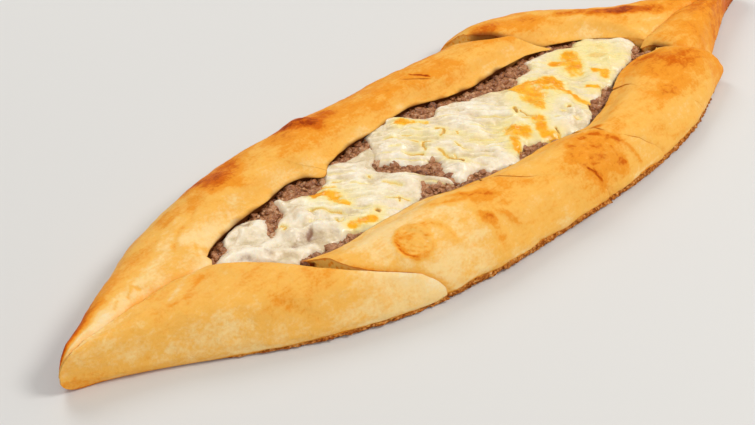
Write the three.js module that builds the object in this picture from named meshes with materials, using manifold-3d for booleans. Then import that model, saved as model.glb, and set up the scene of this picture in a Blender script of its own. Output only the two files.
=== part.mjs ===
// A Turkish pide: a long boat of bread whose two rims are folded up round ground meat under melted
// cheese and pinched shut at both tips. A knife has cut it crosswise into seven slices, which still lie
// together in the shape of the whole.
//
// Frame, in millimetres: +X runs along the boat from its blunt tip to its slim tip, +Y to the left of
// that way and +Z up. The origin is the middle of the underside, under the middle of the boat's box.
// The shapes are worked out first about a loaf frame, whose X = 0 is the middle between the two tips.
//
// Each body is lofted: a closed ring of points across the boat is worked out at every station along it,
// and the rings are skinned. The loaf is then cut into slices by prisms that stand between two cuts.

import * as THREE from "three";
import { mergeVertices } from "three/addons/utils/BufferGeometryUtils.js";
import Module from "manifold-3d";

// ---- Driving dimensions ----

// The boat's outline on the table. Half widths are from the straight line between the tips.
const BLUNT_TIP_X = -228;
const SLIM_TIP_X = 227;
const LEFT_HALF_WIDTH = 66;
const RIGHT_HALF_WIDTH = 63.5;
const SLIM_TIP_DRIFT = -2;
const SIDE_BULGE = 1.6;
const TIP_ROUNDING = 9;
// The left edge of the slim end flares at the last cut and then draws in fast, as points [x, half width].
const SLIM_LEFT_EDGE = [[0, 66], [45, 66], [65, 68], [85, 64], [98, 60], [109, 53], [124, 40], [140, 30],
  [160, 20], [190, 9.5], [227, 2]];

// Heights above the table.
const RIM_HEIGHT = 22.5;
const TIP_HEIGHT = 17.5;
const LIP_HEIGHT = 16.2;
const FLOOR_HEIGHT = 4.6;
const MEAT_HEIGHT = 14;
const CHEESE_BED_HEIGHT = 12.4;
const CHEESE_HEIGHT = 16.6;

// The opening between the two lips, as points [x, y] along each lip from the blunt end to the slim end.
const LEFT_LIP = [[-158, 4.2], [-149, 13], [-136, 18], [-114, 22], [-97, 26], [-82, 24.2], [-62, 29],
  [-36, 31.5], [-17, 34], [0, 29.5], [20, 27.5], [45, 29.5], [64, 28.5], [80, 23], [101, 12], [112, 1],
  [119, -11]];
const RIGHT_LIP = [[-158, 3.4], [-148, -4], [-134, -13], [-116, -20.5], [-92, -20.4], [-64, -20.8],
  [-44, -25.5], [-14, -29.8], [8, -29.6], [28, -32.5], [38, -31.6], [58, -24.6], [84, -13], [101, -10],
  [112, -12.5], [119, -11.8]];
const LIP_UNDERCUT = 1.3;
const CREASE_STEP = 1.4;
const CREASE_DEPTH = 1.8;
const SLIM_CREASE_SHARE = 0.45;

// Gaps between bodies that touch.
const CLEARANCE = 0.32;
const KNIFE_GAP = 0.55;

// The six knife cuts. Each crosses the middle line at x = at and leans back by lean for each mm of y.
// Over the right rim, between two y, it bows towards the blunt tip by a depth: bow is [y, y, depth].
// Each [y, width, spread, drift] of gapes is a place where the two slices stand apart by width and where
// the cut lies nearer the slim tip by drift.
const CUTS = [
  { at: -146, lean: 0.98, bow: [-12, -60, 6], gapes: [[-23, 8, 11, 0], [-46, 0, 18, -3.5]] },
  { at: -101, lean: 0.96, bow: [-20, -66, 4], gapes: [] },
  { at: -57, lean: 1.01, bow: [-16, -68, 15], gapes: [[-6, 1.6, 22, 0]] },
  { at: -13, lean: 1.06, bow: [-34, -68, 11], gapes: [] },
  { at: 43, lean: 1.08, bow: [-22, -60, 15], gapes: [[-24, 2, 5, 0]] },
  {
    at: 104,
    lean: 1.08,
    bow: [-4, -54, 15],
    gapes: [[22, 3.4, 5, 0], [46, 1.8, 10, 0], [72, 18, 14, 9]],
  },
];

// How far each slice has slipped where it lies, as [along X, along Y, turn in degrees].
const SLIPS = [[1, -1.2, 0], [-0.4, 0.6, -0.9], [0.1, 0.5, -1.3], [0, 0.3, -1.3], [0, -0.4, -1.6],
  [-0.4, -0.8, -0.8], [-3.4, 7, 0.6]];

// Puffed blisters of the crust, as [x, y, radius, height].
const BLISTERS = [[-91, -50, 17, 2], [4, -55, 20, 2.6], [-58, -55, 8, 0.8], [-75, 49, 16, 2.2],
  [-129, 41, 14, 1.6], [118, 19, 16, 1.2], [99, -30, 13, 1.2], [-160, -22, 22, 1], [60, 42, 20, 1.2]];

// The strips of bare meat beside the cheese, as points [x, width of the strip].
const LEFT_STRIP = [[-152, 6], [-140, 1.6], [-118, 1.2], [-112, 5], [-104, 2.5], [-87, 4], [-78, 1.2],
  [-68, 3], [-54, 3], [-44, 1.2], [-24, 1.2], [-14, 8], [-6, 4], [4, 3.5], [20, 5.5], [36, 9],
  [48, 5], [62, 1.8], [87, 2.2], [94, -2.6], [101, -3.4], [110, 0]];
const RIGHT_STRIP = [[-150, 2.5], [-130, 2], [-117, 5], [-100, 3], [-85, 1.6], [-66, 1.6], [-53, 8],
  [-45, 2.5], [-38, 4], [-29, 7], [-20, 3], [-10, 2.5], [0, 6.5], [14, 2], [35, 1.6], [48, 5],
  [60, 7], [70, 6], [82, 2.5], [110, 2.5]];
const CRUMB_SIZE = 3.4;
const CRUMB_SPACING = 4.6;

// Steps of the meshes.
const STATION_STEP = 8.5;
const CORNER_STATIONS = [-158, -155.5, -152.5, -147, 106, 111, 115, 119];
const RIM_SAMPLES = [0, 1, 2, 3, 3.5, 4, 4.5, 5, 5.5, 6, 6.5, 7, 8, 9, 10, 11, 12];
const FILLING_STEPS = 9;

// ---- Curves ----

const clamp = (value, low, high) => Math.min(Math.max(value, low), high);

function smoothstep(from, to, value) {
  const t = clamp((value - from) / (to - from), 0, 1);
  return t * t * (3 - 2 * t);
}

// A smooth curve through points [x, y], read at one x.
function through(points, x) {
  const last = points.length - 1;
  const at = clamp(x, points[0][0], points[last][0]);
  let i = 0;
  while (i < last - 1 && at > points[i + 1][0]) {
    i += 1;
  }
  const slope = (k) => {
    const before = points[Math.max(k - 1, 0)];
    const after = points[Math.min(k + 1, last)];
    return (after[1] - before[1]) / (after[0] - before[0]);
  };
  const [[x0, y0], [x1, y1]] = [points[i], points[i + 1]];
  const width = x1 - x0;
  const t = (at - x0) / width;
  const rise = y0 + (y1 - y0) * t * t * (3 - 2 * t);
  return rise + width * t * (1 - t) * ((1 - t) * slope(i) - t * slope(i + 1));
}

// Numbers from 0 to 1 in a fixed order.
function randomFrom(seed) {
  let state = seed;
  return () => {
    state = (state * 16807) % 2147483647;
    return state / 2147483647;
  };
}

// ---- The boat's measures at one x. side is 1 on the left and -1 on the right. ----

// How far x is towards its tip, from 0 at the middle to 1 at the tip.
const tipward = (x) => x / (x < 0 ? BLUNT_TIP_X : SLIM_TIP_X);

// 0 at the tip and 1 from TIP_ROUNDING inwards, as a round nose.
function noseFactor(x) {
  const inwards = clamp(Math.min(x - BLUNT_TIP_X, SLIM_TIP_X - x) / TIP_ROUNDING, 0, 1);
  return Math.sqrt(1 - (1 - inwards) ** 2);
}

// The blunt end is an oval, fuller on its left, and the slim end draws in to a narrow point.
function outlineFactor(x, side) {
  const u = 0.975 * tipward(x);
  if (x > 0) {
    return side > 0 ? through(SLIM_LEFT_EDGE, x) / LEFT_HALF_WIDTH : (1 - u ** 2.6) ** 1.8;
  }
  return side > 0 ? (1 - u ** 3.6) ** 1.2 : (1 - u ** 3.4) ** 2.08;
}

const middleY = (x) => SLIM_TIP_DRIFT * smoothstep(110, SLIM_TIP_X, x);

function outerDistance(x, side) {
  const half = side > 0 ? LEFT_HALF_WIDTH : RIGHT_HALF_WIDTH;
  return half * outlineFactor(x, side) * noseFactor(x) + side * middleY(x);
}

// The crease where the rims are pinched together runs on from the opening's corners to the tips.
function creaseY(x) {
  if (x < 0) {
    return through([[BLUNT_TIP_X, 1], [-195, 6], [-175, 7.5], [-158, 3.8]], x);
  }
  return through([[119, -11.4], [135, -9], [165, -6], [SLIM_TIP_X, SLIM_TIP_DRIFT]], x);
}

const isOpen = (x) => x > LEFT_LIP[0][0] && x < LEFT_LIP.at(-1)[0];

function lipDistance(x, side) {
  if (isOpen(x)) {
    return side * through(side > 0 ? LEFT_LIP : RIGHT_LIP, x);
  }
  return side * creaseY(x) + 0.4;
}

// 0 where the channel is pinched shut and 1 where it is fully open.
function openFactor(x) {
  const width = isOpen(x) ? lipDistance(x, 1) + lipDistance(x, -1) : 0;
  return smoothstep(0, 26, width);
}

function crestHeight(x, side) {
  const crest = TIP_HEIGHT + (RIM_HEIGHT - TIP_HEIGHT) * (1 - tipward(x) ** 3.5);
  return crest + side * 0.8 * Math.sin(x / 31) + 0.6 * Math.sin(x / 17 + side);
}

// How deep the crease is: in full at the blunt end, shallower at the slim one.
const creaseShare = (x) => (x < 0 ? 1 : THREE.MathUtils.lerp(SLIM_CREASE_SHARE, 1, openFactor(x)));

function lipHeight(x, side) {
  const pinched = crestHeight(x, side) * 0.86 - side * creaseShare(x) * CREASE_STEP / 2;
  return THREE.MathUtils.lerp(pinched, LIP_HEIGHT, openFactor(x));
}

function floorHeight(x) {
  const pinched = lipHeight(x, 1) - creaseShare(x) * CREASE_DEPTH;
  return THREE.MathUtils.lerp(pinched, FLOOR_HEIGHT, smoothstep(0, 0.35, openFactor(x)));
}

const wallDistance = (x, side) => lipDistance(x, side) + LIP_UNDERCUT * openFactor(x);

function blisterHeight(x, y) {
  let height = 0;
  for (const [bx, by, radius, rise] of BLISTERS) {
    height += rise * Math.exp(-2 * ((x - bx) ** 2 + (y - by) ** 2) / radius ** 2);
  }
  return height;
}

// ---- Bodies ----

// Skins rings of equal length, each a list of [x, y, z], and closes both ends with fans.
function skin(rings) {
  const size = rings[0].length;
  const positions = rings.flat(2);
  const index = [];
  for (let r = 0; r < rings.length - 1; r += 1) {
    for (let k = 0; k < size; k += 1) {
      const next = (k + 1) % size;
      const [a, b] = [r * size + k, r * size + next];
      index.push(a, b, a + size, b, b + size, a + size);
    }
  }
  for (const [first, flip] of [[0, true], [(rings.length - 1) * size, false]]) {
    const middle = positions.length / 3;
    const sum = [0, 0, 0];
    for (let k = 0; k < size; k += 1) {
      sum.forEach((_, axis) => {
        sum[axis] += positions[(first + k) * 3 + axis] / size;
      });
      const [a, b] = [first + k, first + (k + 1) % size];
      index.push(...(flip ? [middle, b, a] : [middle, a, b]));
    }
    positions.push(...sum);
  }
  const geometry = new THREE.BufferGeometry();
  geometry.setAttribute("position", new THREE.Float32BufferAttribute(positions, 3));
  geometry.setIndex(index);
  return geometry;
}

// The stations of every body between one x and another: at both ends, at the given distances in from
// the ends, close together at the opening's two corners, and a STATION_STEP apart elsewhere.
function stations(from, to, insets) {
  const ends = [from, to, ...insets.map((d) => from + d), ...insets.map((d) => to - d)];
  const inner = [...CORNER_STATIONS];
  for (let x = BLUNT_TIP_X; x < SLIM_TIP_X; x += STATION_STEP) {
    if (inner.every((other) => Math.abs(other - x) > STATION_STEP / 2)) {
      inner.push(x);
    }
  }
  const reach = Math.max(...insets) + 1;
  const kept = inner.filter((x) => x > from + reach && x < to - reach);
  return [...ends, ...kept].sort((a, b) => a - b);
}

// One rim of the loaf, from its foot on the table over the crest and the lip down to the floor, as
// [distance from the middle line, height] points.
function rimProfile(x, side) {
  const outer = outerDistance(x, side);
  const lip = lipDistance(x, side);
  const wall = wallDistance(x, side);
  const rim = outer - lip;
  const crest = crestHeight(x, side);
  const lipZ = lipHeight(x, side);
  const floor = floorHeight(x);
  const nose = Math.min(1, rim / 12);
  const dip = creaseShare(x);
  const points = [
    [outer - 3.5 * nose, 0],
    [outer + 0.4 * nose, 1],
    [outer + SIDE_BULGE * nose, 0.22 * crest],
    [outer + 0.3 * SIDE_BULGE * nose, 0.42 * crest],
    [outer - 0.1 * rim, 0.66 * crest],
    [outer - 0.26 * rim, 0.88 * crest],
    [outer - 0.5 * rim, crest],
    [outer - 0.73 * rim, 0.985 * crest],
    [lip + 0.1 * rim, lipZ + 1.6 * nose],
    [lip, lipZ - 0.5 * dip],
    [wall, lipZ - Math.min(2.2, 0.6 * dip * CREASE_DEPTH + 2 * openFactor(x))],
    [wall, floor + 0.6 * dip],
    [wall - Math.min(1, 0.3 * (wallDistance(x, 1) + wallDistance(x, -1))), floor],
  ];
  const curve = new THREE.SplineCurve(points.map(([d, z]) => new THREE.Vector2(d, z)));
  const last = points.length - 1;
  return RIM_SAMPLES.map((k) => curve.getPoint(k / last)).map((p) => [p.x, Math.max(p.y, 0)]);
}

// The whole loaf before it is cut.
function makeLoaf() {
  const rings = stations(BLUNT_TIP_X + 0.3, SLIM_TIP_X - 0.3, [1.2, 3.2, 6.5]).map((x) => {
    const right = rimProfile(x, -1).map(([d, z]) => [-d, z]);
    const left = rimProfile(x, 1);
    const nose = noseFactor(x);
    const heart = 0.42 * TIP_HEIGHT;
    return [...left, ...right.reverse()].map(([y, z]) => {
      const top = smoothstep(8, 16, z) * blisterHeight(x, y);
      return [x, y, heart + (z + top - heart) * nose];
    });
  });
  return skin(rings);
}

// A filling that spreads between two edges. Its rings run along the bed from the right edge to the left
// one, both drawn in by foot, and back over the top. bedAt and topAt give the two heights.
function makeFilling(from, to, edgesAt, foot, bedAt, topAt) {
  const rings = stations(from, to, [1.5, 4]).map((x) => {
    const [right, left] = edgesAt(x);
    const drawnIn = Math.min(foot, (left - right) / 3);
    const across = (k) => THREE.MathUtils.lerp(right, left, k / FILLING_STEPS);
    const ring = [[x, right + drawnIn, bedAt(x)], [x, left - drawnIn, bedAt(x)]];
    for (let k = FILLING_STEPS; k >= 0; k -= 1) {
      ring.push([x, across(k), topAt(x, across(k), k / FILLING_STEPS)]);
    }
    return ring;
  });
  return skin(rings);
}

// ---- Solids ----

const wasm = await Module();
wasm.setup();

function toSolid(geometry) {
  const shape = geometry.clone();
  shape.deleteAttribute("normal");
  shape.deleteAttribute("uv");
  const merged = mergeVertices(shape, 1e-4);
  const triVerts = new Uint32Array(merged.index.array);
  const vertProperties = new Float32Array(merged.attributes.position.array);
  return new wasm.Manifold(new wasm.Mesh({ numProp: 3, vertProperties, triVerts }));
}

function toGeometry(solid) {
  const mesh = solid.getMesh();
  const geometry = new THREE.BufferGeometry();
  geometry.setAttribute("position", new THREE.BufferAttribute(mesh.vertProperties, 3));
  geometry.setIndex(new THREE.BufferAttribute(mesh.triVerts, 1));
  return geometry;
}

// One face of a cut, read at y. face is -1 on the side of the blunt tip and 1 on the other.
function cutX(cut, y, face) {
  const [from, to, depth] = cut.bow;
  const over = clamp((y - from) / (to - from), 0, 1);
  let x = cut.at - cut.lean * y - depth * Math.sin(Math.PI * over) ** 2 + face * KNIFE_GAP / 2;
  for (const [middle, width, spread, drift] of cut.gapes) {
    x += (drift + face * width / 2) * Math.exp(-(((y - middle) / spread) ** 2));
  }
  return x;
}

// The upright prism between the cuts before and after a slice, or beyond the last of them at a tip.
function makeSlab(before, after) {
  const reach = 90;
  const far = 420;
  const step = 7.5;
  const outline = new THREE.Shape();
  const points = [];
  for (let y = -reach; y <= reach; y += step) {
    points.push([before ? cutX(before, y, 1) : -far, y]);
  }
  for (let y = reach; y >= -reach; y -= step) {
    points.push([after ? cutX(after, y, -1) : far, y]);
  }
  outline.setFromPoints(points.map(([x, y]) => new THREE.Vector2(x, y)));
  return toSolid(new THREE.ExtrudeGeometry(outline, { depth: 60, bevelEnabled: false }));
}

// Where slice number i lies: a slip and a turn about the slice's own middle.
function slipMatrix(i) {
  const [dx, dy, degrees] = SLIPS[i];
  const from = i > 0 ? CUTS[i - 1].at : BLUNT_TIP_X;
  const to = i < CUTS.length ? CUTS[i].at : SLIM_TIP_X;
  const middle = (from + to) / 2;
  const turn = new THREE.Matrix4().makeRotationZ(THREE.MathUtils.degToRad(degrees));
  return new THREE.Matrix4().makeTranslation(middle + dx, dy, 0)
    .multiply(turn)
    .multiply(new THREE.Matrix4().makeTranslation(-middle, 0, 0));
}

// ---- Filling ----

const FILLING_FROM = -152.5;
const FILLING_TO = 111;

const MEAT_FOOT = 1.4;
const MEAT_SAG = 0.8;

function meatEdges(x) {
  return [-wallDistance(x, -1) + 2 * CLEARANCE, wallDistance(x, 1) - 2 * CLEARANCE];
}

// The meat's top is uneven by about a crumb, and sinks a little against the crust.
function meatTop(x, y, across) {
  const edge = 1 - Math.abs(2 * across - 1);
  const rough = 0.7 * Math.sin(x / 2.1 + y / 3.3) * Math.sin(y / 1.9 - x / 4.7);
  return MEAT_HEIGHT + rough - MEAT_SAG * (1 - smoothstep(0, 0.25, edge));
}

function cheeseEdges(x) {
  const right = -lipDistance(x, -1) + through(RIGHT_STRIP, x);
  const left = lipDistance(x, 1) - through(LEFT_STRIP, x);
  return left - right > 1 ? [right, left] : [(left + right) / 2 - 0.5, (left + right) / 2 + 0.5];
}

// The cheese swells in the middle and rounds down to its edges, with soft lumps.
function cheeseTop(x, y, across) {
  const edge = smoothstep(0, 0.3, 1 - Math.abs(2 * across - 1));
  const lumps = 0.8 * Math.sin(x / 9 + 1) * Math.sin(y / 7) + 0.5 * Math.sin(x / 4.3 + y / 5.1);
  return CHEESE_BED_HEIGHT + 1.3 + (CHEESE_HEIGHT - CHEESE_BED_HEIGHT - 1.3 + lumps) * edge;
}

const CHEESE_FROM = -148;
const CHEESE_TO = 109;

// A crumb of meat is a rough ball with few faces, flattened and turned at random.
function makeCrumb(x, y, z, random) {
  const crumb = new THREE.IcosahedronGeometry(CRUMB_SIZE / 2, 0);
  crumb.scale(0.9 + 0.5 * random(), 0.8 + 0.4 * random(), 0.7 + 0.3 * random());
  crumb.rotateX(Math.PI * random());
  crumb.rotateZ(Math.PI * random());
  crumb.translate(x, y, z);
  return toSolid(crumb);
}

// Crumbs lie along the bare strips beside the cheese, clear of the crust.
function makeCrumbs(random) {
  const crumbs = [];
  for (let x = CHEESE_FROM - 4; x < CHEESE_TO + 4; x += CRUMB_SPACING) {
    const [meatRight, meatLeft] = meatEdges(x);
    const [cheeseRight, cheeseLeft] = cheeseEdges(x);
    const inset = CRUMB_SIZE * 0.9;
    for (const [from, to] of [[cheeseLeft, meatLeft - inset], [meatRight + inset, cheeseRight]]) {
      for (let y = from; y <= to; y += CRUMB_SPACING * 0.8) {
        const jitter = () => (random() - 0.5) * 1.6;
        crumbs.push(makeCrumb(x + jitter(), clamp(y + jitter(), from, to), MEAT_HEIGHT - 0.3, random));
      }
    }
  }
  return crumbs;
}

function makeMeat() {
  const bedAt = (x) => floorHeight(x) + 1.5 * CLEARANCE;
  const core = makeFilling(FILLING_FROM, FILLING_TO, meatEdges, MEAT_FOOT, bedAt, meatTop);
  return wasm.Manifold.union([toSolid(core), ...makeCrumbs(randomFrom(41))]);
}

// The cheese with its underside at bed, grown by grow on every side.
function makeCheese(grow) {
  const edges = (x) => {
    const [right, left] = cheeseEdges(x);
    return [right - grow, left + grow];
  };
  const topAt = (x, y, across) => cheeseTop(x, y, across) + 4 * grow;
  const bedAt = () => CHEESE_BED_HEIGHT - grow;
  return toSolid(makeFilling(CHEESE_FROM - grow, CHEESE_TO + grow, edges, 0, bedAt, topAt));
}

// ---- Materials ----

const crustMaterial = new THREE.MeshStandardMaterial({ color: 0xe0a050, roughness: 0.5 });
const meatMaterial = new THREE.MeshStandardMaterial({ color: 0x8a6050, roughness: 0.6 });
const cheeseMaterial = new THREE.MeshStandardMaterial({ color: 0xeee0b8, roughness: 0.35 });

// ---- The pide ----

const pide = new THREE.Group();

function addPiece(name, solid, material) {
  const mesh = new THREE.Mesh(toGeometry(solid), material.clone());
  mesh.name = name;
  pide.add(mesh);
}

// The largest piece of a solid, without the scraps that a cut leaves loose.
function mainPiece(solid) {
  const pieces = solid.decompose();
  return pieces.reduce((best, piece) => (piece.volume() > best.volume() ? piece : best));
}

const loaf = makeLoaf();
const meat = toGeometry(makeMeat());
const cheeseBed = makeCheese(CLEARANCE);

for (let i = 0; i <= CUTS.length; i += 1) {
  const slab = makeSlab(CUTS[i - 1], CUTS[i]);
  const slip = slipMatrix(i);
  const crust = toSolid(loaf.clone().applyMatrix4(slip)).intersect(slab);
  addPiece(`crust_slice_${i + 1}`, mainPiece(crust), crustMaterial);
  const filling = toSolid(meat.clone().applyMatrix4(slip)).intersect(slab).subtract(cheeseBed);
  addPiece(`meat_slice_${i + 1}`, mainPiece(filling), meatMaterial);
}

const cheese = makeCheese(0);
addPiece("cheese_near", cheese.intersect(makeSlab(undefined, CUTS[2])), cheeseMaterial);
addPiece("cheese_far", cheese.intersect(makeSlab(CUTS[2], undefined)), cheeseMaterial);

// The group's origin moves to the middle of the underside.
const box = new THREE.Box3().setFromObject(pide);
const middle = box.getCenter(new THREE.Vector3());
pide.position.set(-middle.x, -middle.y, -box.min.z);

export default pide;
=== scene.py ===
import math

import bmesh
import bpy
import numpy as np
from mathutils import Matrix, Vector, kdtree


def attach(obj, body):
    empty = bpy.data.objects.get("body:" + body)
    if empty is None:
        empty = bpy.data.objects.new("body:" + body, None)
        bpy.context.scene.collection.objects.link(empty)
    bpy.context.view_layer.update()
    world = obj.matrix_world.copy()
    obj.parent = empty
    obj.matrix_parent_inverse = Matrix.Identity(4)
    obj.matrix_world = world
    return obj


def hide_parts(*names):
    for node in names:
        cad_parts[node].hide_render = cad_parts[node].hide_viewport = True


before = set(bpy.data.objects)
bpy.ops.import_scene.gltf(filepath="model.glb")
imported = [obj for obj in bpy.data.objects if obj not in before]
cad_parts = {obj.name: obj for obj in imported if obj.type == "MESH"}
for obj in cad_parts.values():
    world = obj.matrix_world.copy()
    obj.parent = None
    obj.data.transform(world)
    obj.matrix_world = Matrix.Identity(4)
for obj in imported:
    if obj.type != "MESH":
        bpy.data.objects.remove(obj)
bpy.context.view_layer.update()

# A sliced Turkish pide. Lengths are in millimetres in a loaf frame, whose X runs from the blunt tip to
# the slim tip. LOAF_SHIFT brings the loaf frame to the CAD's frame, and meshes are made in metres.
LOAF_SHIFT = np.array([1.69, -4.43, 0.0])
METRES, MILLIMETRES = 0.001, 1000

# ---- The same named values as the solids have ----

BLUNT_TIP_X, SLIM_TIP_X = -228.0, 227.0
LEFT_HALF_WIDTH, RIGHT_HALF_WIDTH = 66.0, 63.5
SLIM_TIP_DRIFT = -2.0
SIDE_BULGE = 1.6
TIP_ROUNDING = 9.0
SLIM_LEFT_EDGE = [[0, 66], [45, 66], [65, 68], [85, 64], [98, 60], [109, 53], [124, 40], [140, 30],
                  [160, 20], [190, 9.5], [227, 2]]
RIM_HEIGHT, TIP_HEIGHT, LIP_HEIGHT, FLOOR_HEIGHT = 22.5, 17.5, 16.2, 4.6
MEAT_HEIGHT = 14.0
LEFT_LIP = [[-158, 4.2], [-149, 13], [-136, 18], [-114, 22], [-97, 26], [-82, 24.2], [-62, 29],
            [-36, 31.5], [-17, 34], [0, 29.5], [20, 27.5], [45, 29.5], [64, 28.5], [80, 23], [101, 12],
            [112, 1], [119, -11]]
RIGHT_LIP = [[-158, 3.4], [-148, -4], [-134, -13], [-116, -20.5], [-92, -20.4], [-64, -20.8],
             [-44, -25.5], [-14, -29.8], [8, -29.6], [28, -32.5], [38, -31.6], [58, -24.6], [84, -13],
             [101, -10], [112, -12.5], [119, -11.8]]
LIP_UNDERCUT, CREASE_STEP, CREASE_DEPTH, SLIM_CREASE_SHARE = 1.3, 1.4, 1.8, 0.45
KNIFE_GAP = 0.55
CUTS = [
    {"at": -146, "lean": 0.98, "bow": [-12, -60, 6], "gapes": [[-23, 8, 11, 0], [-46, 0, 18, -3.5]]},
    {"at": -101, "lean": 0.96, "bow": [-20, -66, 4], "gapes": []},
    {"at": -57, "lean": 1.01, "bow": [-16, -68, 15], "gapes": [[-6, 1.6, 22, 0]]},
    {"at": -13, "lean": 1.06, "bow": [-34, -68, 11], "gapes": []},
    {"at": 43, "lean": 1.08, "bow": [-22, -60, 15], "gapes": [[-24, 2, 5, 0]]},
    {"at": 104, "lean": 1.08, "bow": [-4, -54, 15],
     "gapes": [[22, 3.4, 5, 0], [46, 1.8, 10, 0], [72, 18, 14, 9]]},
]
SLIPS = [[1, -1.2, 0], [-0.4, 0.6, -0.9], [0.1, 0.5, -1.3], [0, 0.3, -1.3], [0, -0.4, -1.6],
         [-0.4, -0.8, -0.8], [-3.4, 7, 0.6]]
BLISTERS = [[-91, -50, 17, 2], [4, -55, 20, 2.6], [-58, -55, 8, 0.8], [-75, 49, 16, 2.2],
            [-129, 41, 14, 1.6], [118, 19, 16, 1.2], [99, -30, 13, 1.2], [-160, -22, 22, 1],
            [60, 42, 20, 1.2]]

# ---- What only the dressed pide has ----

SLICES, LAST_SLICE, LAST_CUT = len(CUTS) + 1, len(CUTS), len(CUTS) - 1
# Each cut shows as a line only between these y. Elsewhere the two slices press shut.
SEEN_CUTS = [[[-75, -10]], [], [[-47, -29], [-75, -60]], [[-45, -33], [-75, -55]],
             [[-23.5, -13], [-68, -53], [40, 47]], [[12, 90], [-22, -2], [-40, -27]]]
# How far a cut face moves towards its neighbour where they press shut, and where each cut shows.
SHUT, AJAR = 0.29, [-0.2, 0.0, -0.05, -0.2, -0.3, -0.5]
# Two slices share one surface where they press shut, from the first y of a cut to the second.
SHARED_FROM = [(6, 16), (-66, -54), (-64, -54), (-64, -54), (-64, -54), None]

# The blisters and the puff as ovals [x, y, half length, half width, turn].
RING_BLISTER = (-90.6, -43.8, 7.6, 8.4, -43)
RING_SMEAR = [-86, -38.5, -80, -42, -76.5, -47, -76, -52]
CRACKED_BLISTER = (12, -55, 18, 16, 0)
PUFF = (-71, 53, 8.5, 6.5, -42)
# Small folds and scratches of the crust, as [half width, rise, darkening, x, y, x, y and so on].
FOLDS = [
    [1.1, 0.25, -0.14, -180, -4.5, -166, 3, -155, 6], [0.8, -0.2, 0.1, -176, -8, -163, -2],
    [0.9, -0.35, 0.16, -163, 17.5, -157, 24, -152, 26.5],
    [1, 0.3, -0.1, -168, 22, -160, 29, -150, 33], [0.8, -0.3, 0.14, -157, 10, -154, 16.5],
    [0.8, -0.25, 0.1, -148, 27, -142, 33], [0.6, -0.3, 0.2, -190, 9, -186, 12, -184, 10],
    [0.6, -0.3, 0.2, -197, 7, -194, 9.5], [0.45, -0.4, 0.55, -3.6, 48, -1, 44.5, 1.5, 40.7],
    [0.9, -0.25, 0.12, -62, -33, -50, -41, -44, -46], [0.9, 0.25, 0.05, -70, -29, -56, -36],
    [0.8, -0.22, 0.12, -70, -33, -58, -40], [0.9, 0.22, -0.05, -130, -23, -118, -29, -104, -31],
    [0.8, -0.22, 0.08, -128, -27, -114, -33], [1.2, 0.25, -0.08, -176, -36, -160, -45],
    [1.2, -0.25, 0.08, -150, -30, -140, -42], [0.8, -0.3, 0.15, 20, -44, 30, -56, 34, -64],
    [1, -0.3, 0.25, 33, -30, 38, -27], [1.2, -0.4, 0.5, 62, -15, 66, -17],
    [0.4, -0.35, 0.38, 1.5, -58, 4, -59.5, 6.5, -62], [1, 0.3, -0.08, 128, 6, 140, 2],
]
# Browned ovals as [x, y, half length, half width, turn, strength].
BROWN_OVALS = [
    [-127, 46, 13, 9.5, -42, 0.86], [-116, 50, 11, 6, 5, 0.5], [-137, 38, 8, 5, 40, 0.4],
    [-71, 53, 11.5, 8.5, -42, 0.9], [-60, 52, 11, 6, 0, 0.5], [-85, 48, 8, 5, 20, 0.35],
    [126, 20, 17, 4.6, -28, 1.05], [106, 34, 12, 4, -24, 0.55], [142, 10, 12, 4, -20, 0.5],
    [12, -56, 21, 17, 0, 0.26], [28.5, -40.5, 2.4, 1.6, -40, 0.7], [110, -30, 16, 10, -40, 0.36],
    [100, -19, 9, 5, -40, 0.35], [81, -45, 8, 5, 0, 0.45], [-57, -53.5, 4.2, 2.2, -68, 0.64],
    [-57, -60, 3, 2, -85, 0.3], [-48, -57.5, 5, 1.8, -35, 0.3], [-66, -34, 9, 3, -30, 0.3],
    [-52, -41, 9, 3, -35, 0.3], [-40, 60, 26, 5, 4, 0.3], [20, 60, 32, 5, -3, 0.35],
    [66, 50, 26, 6, -18, 0.35], [-150, 38, 14, 4, 36, 0.3], [62, -16, 2.6, 1.6, -40, 1],
    [-179, 41, 2.4, 1.2, 50, 1.2],
]
# Pale and dark patches as [the only slice, x, y, width in x, width in y, darkening].
PATCHES = [
    [None, -42, 44, 22, 8, 0.15], [None, 66, 42, 26, 9, 0.09], [None, 52, 54, 14, 9, 0.05],
    [0, -100, -42, 22, 14, -0.14], [1, -104, -32, 12, 9, -0.15],
]
FLOURY_BAND = [[-222, -1], [-193, 9.5], [-166, 18.5], [-148, 22]]

# The cheese's outlines as it lies, as points [x, y] one after the other.
NEAR_OUTLINE = [
    [-141, 16.6], [-144.2, 10.2], [-148.2, 8.9], [-152.6, 6.3], [-152, 1], [-146, -3], [-141, -6],
    [-136, -10], [-131, -14], [-127.3, -15.4], [-124.3, -15.4], [-119, -14.8], [-115.7, -16.5],
    [-113, -15.9], [-106.8, -15.5], [-99.9, -15.4], [-94.8, -18], [-91.5, -22], [-83, -23],
    [-76, -23], [-66, -22], [-61.3, -17.9], [-53.4, -10.8], [-48.6, -16.3], [-42.9, -20.6],
    [-42.5, -16], [-46.4, -9.4], [-49.2, -5.7], [-53.3, -0.7], [-58.2, 3.5], [-62.4, 8.3],
    [-60.8, 13.3], [-53.8, 18.3], [-51.5, 24.8], [-58, 24.4], [-67, 23.8], [-75.6, 27], [-80.4, 28],
    [-84.1, 17.7], [-94.8, 14.9], [-100.9, 17.2], [-105.4, 20.5], [-105.9, 23.3], [-109.8, 22.1],
    [-110.7, 17.3], [-110.4, 14.3], [-118.9, 8.5], [-124.9, 4.6], [-124.5, 7.5], [-120.6, 13.6],
    [-119.1, 15.5], [-124.6, 19.6], [-129.2, 19.8], [-133.6, 20.4],
]
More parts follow.
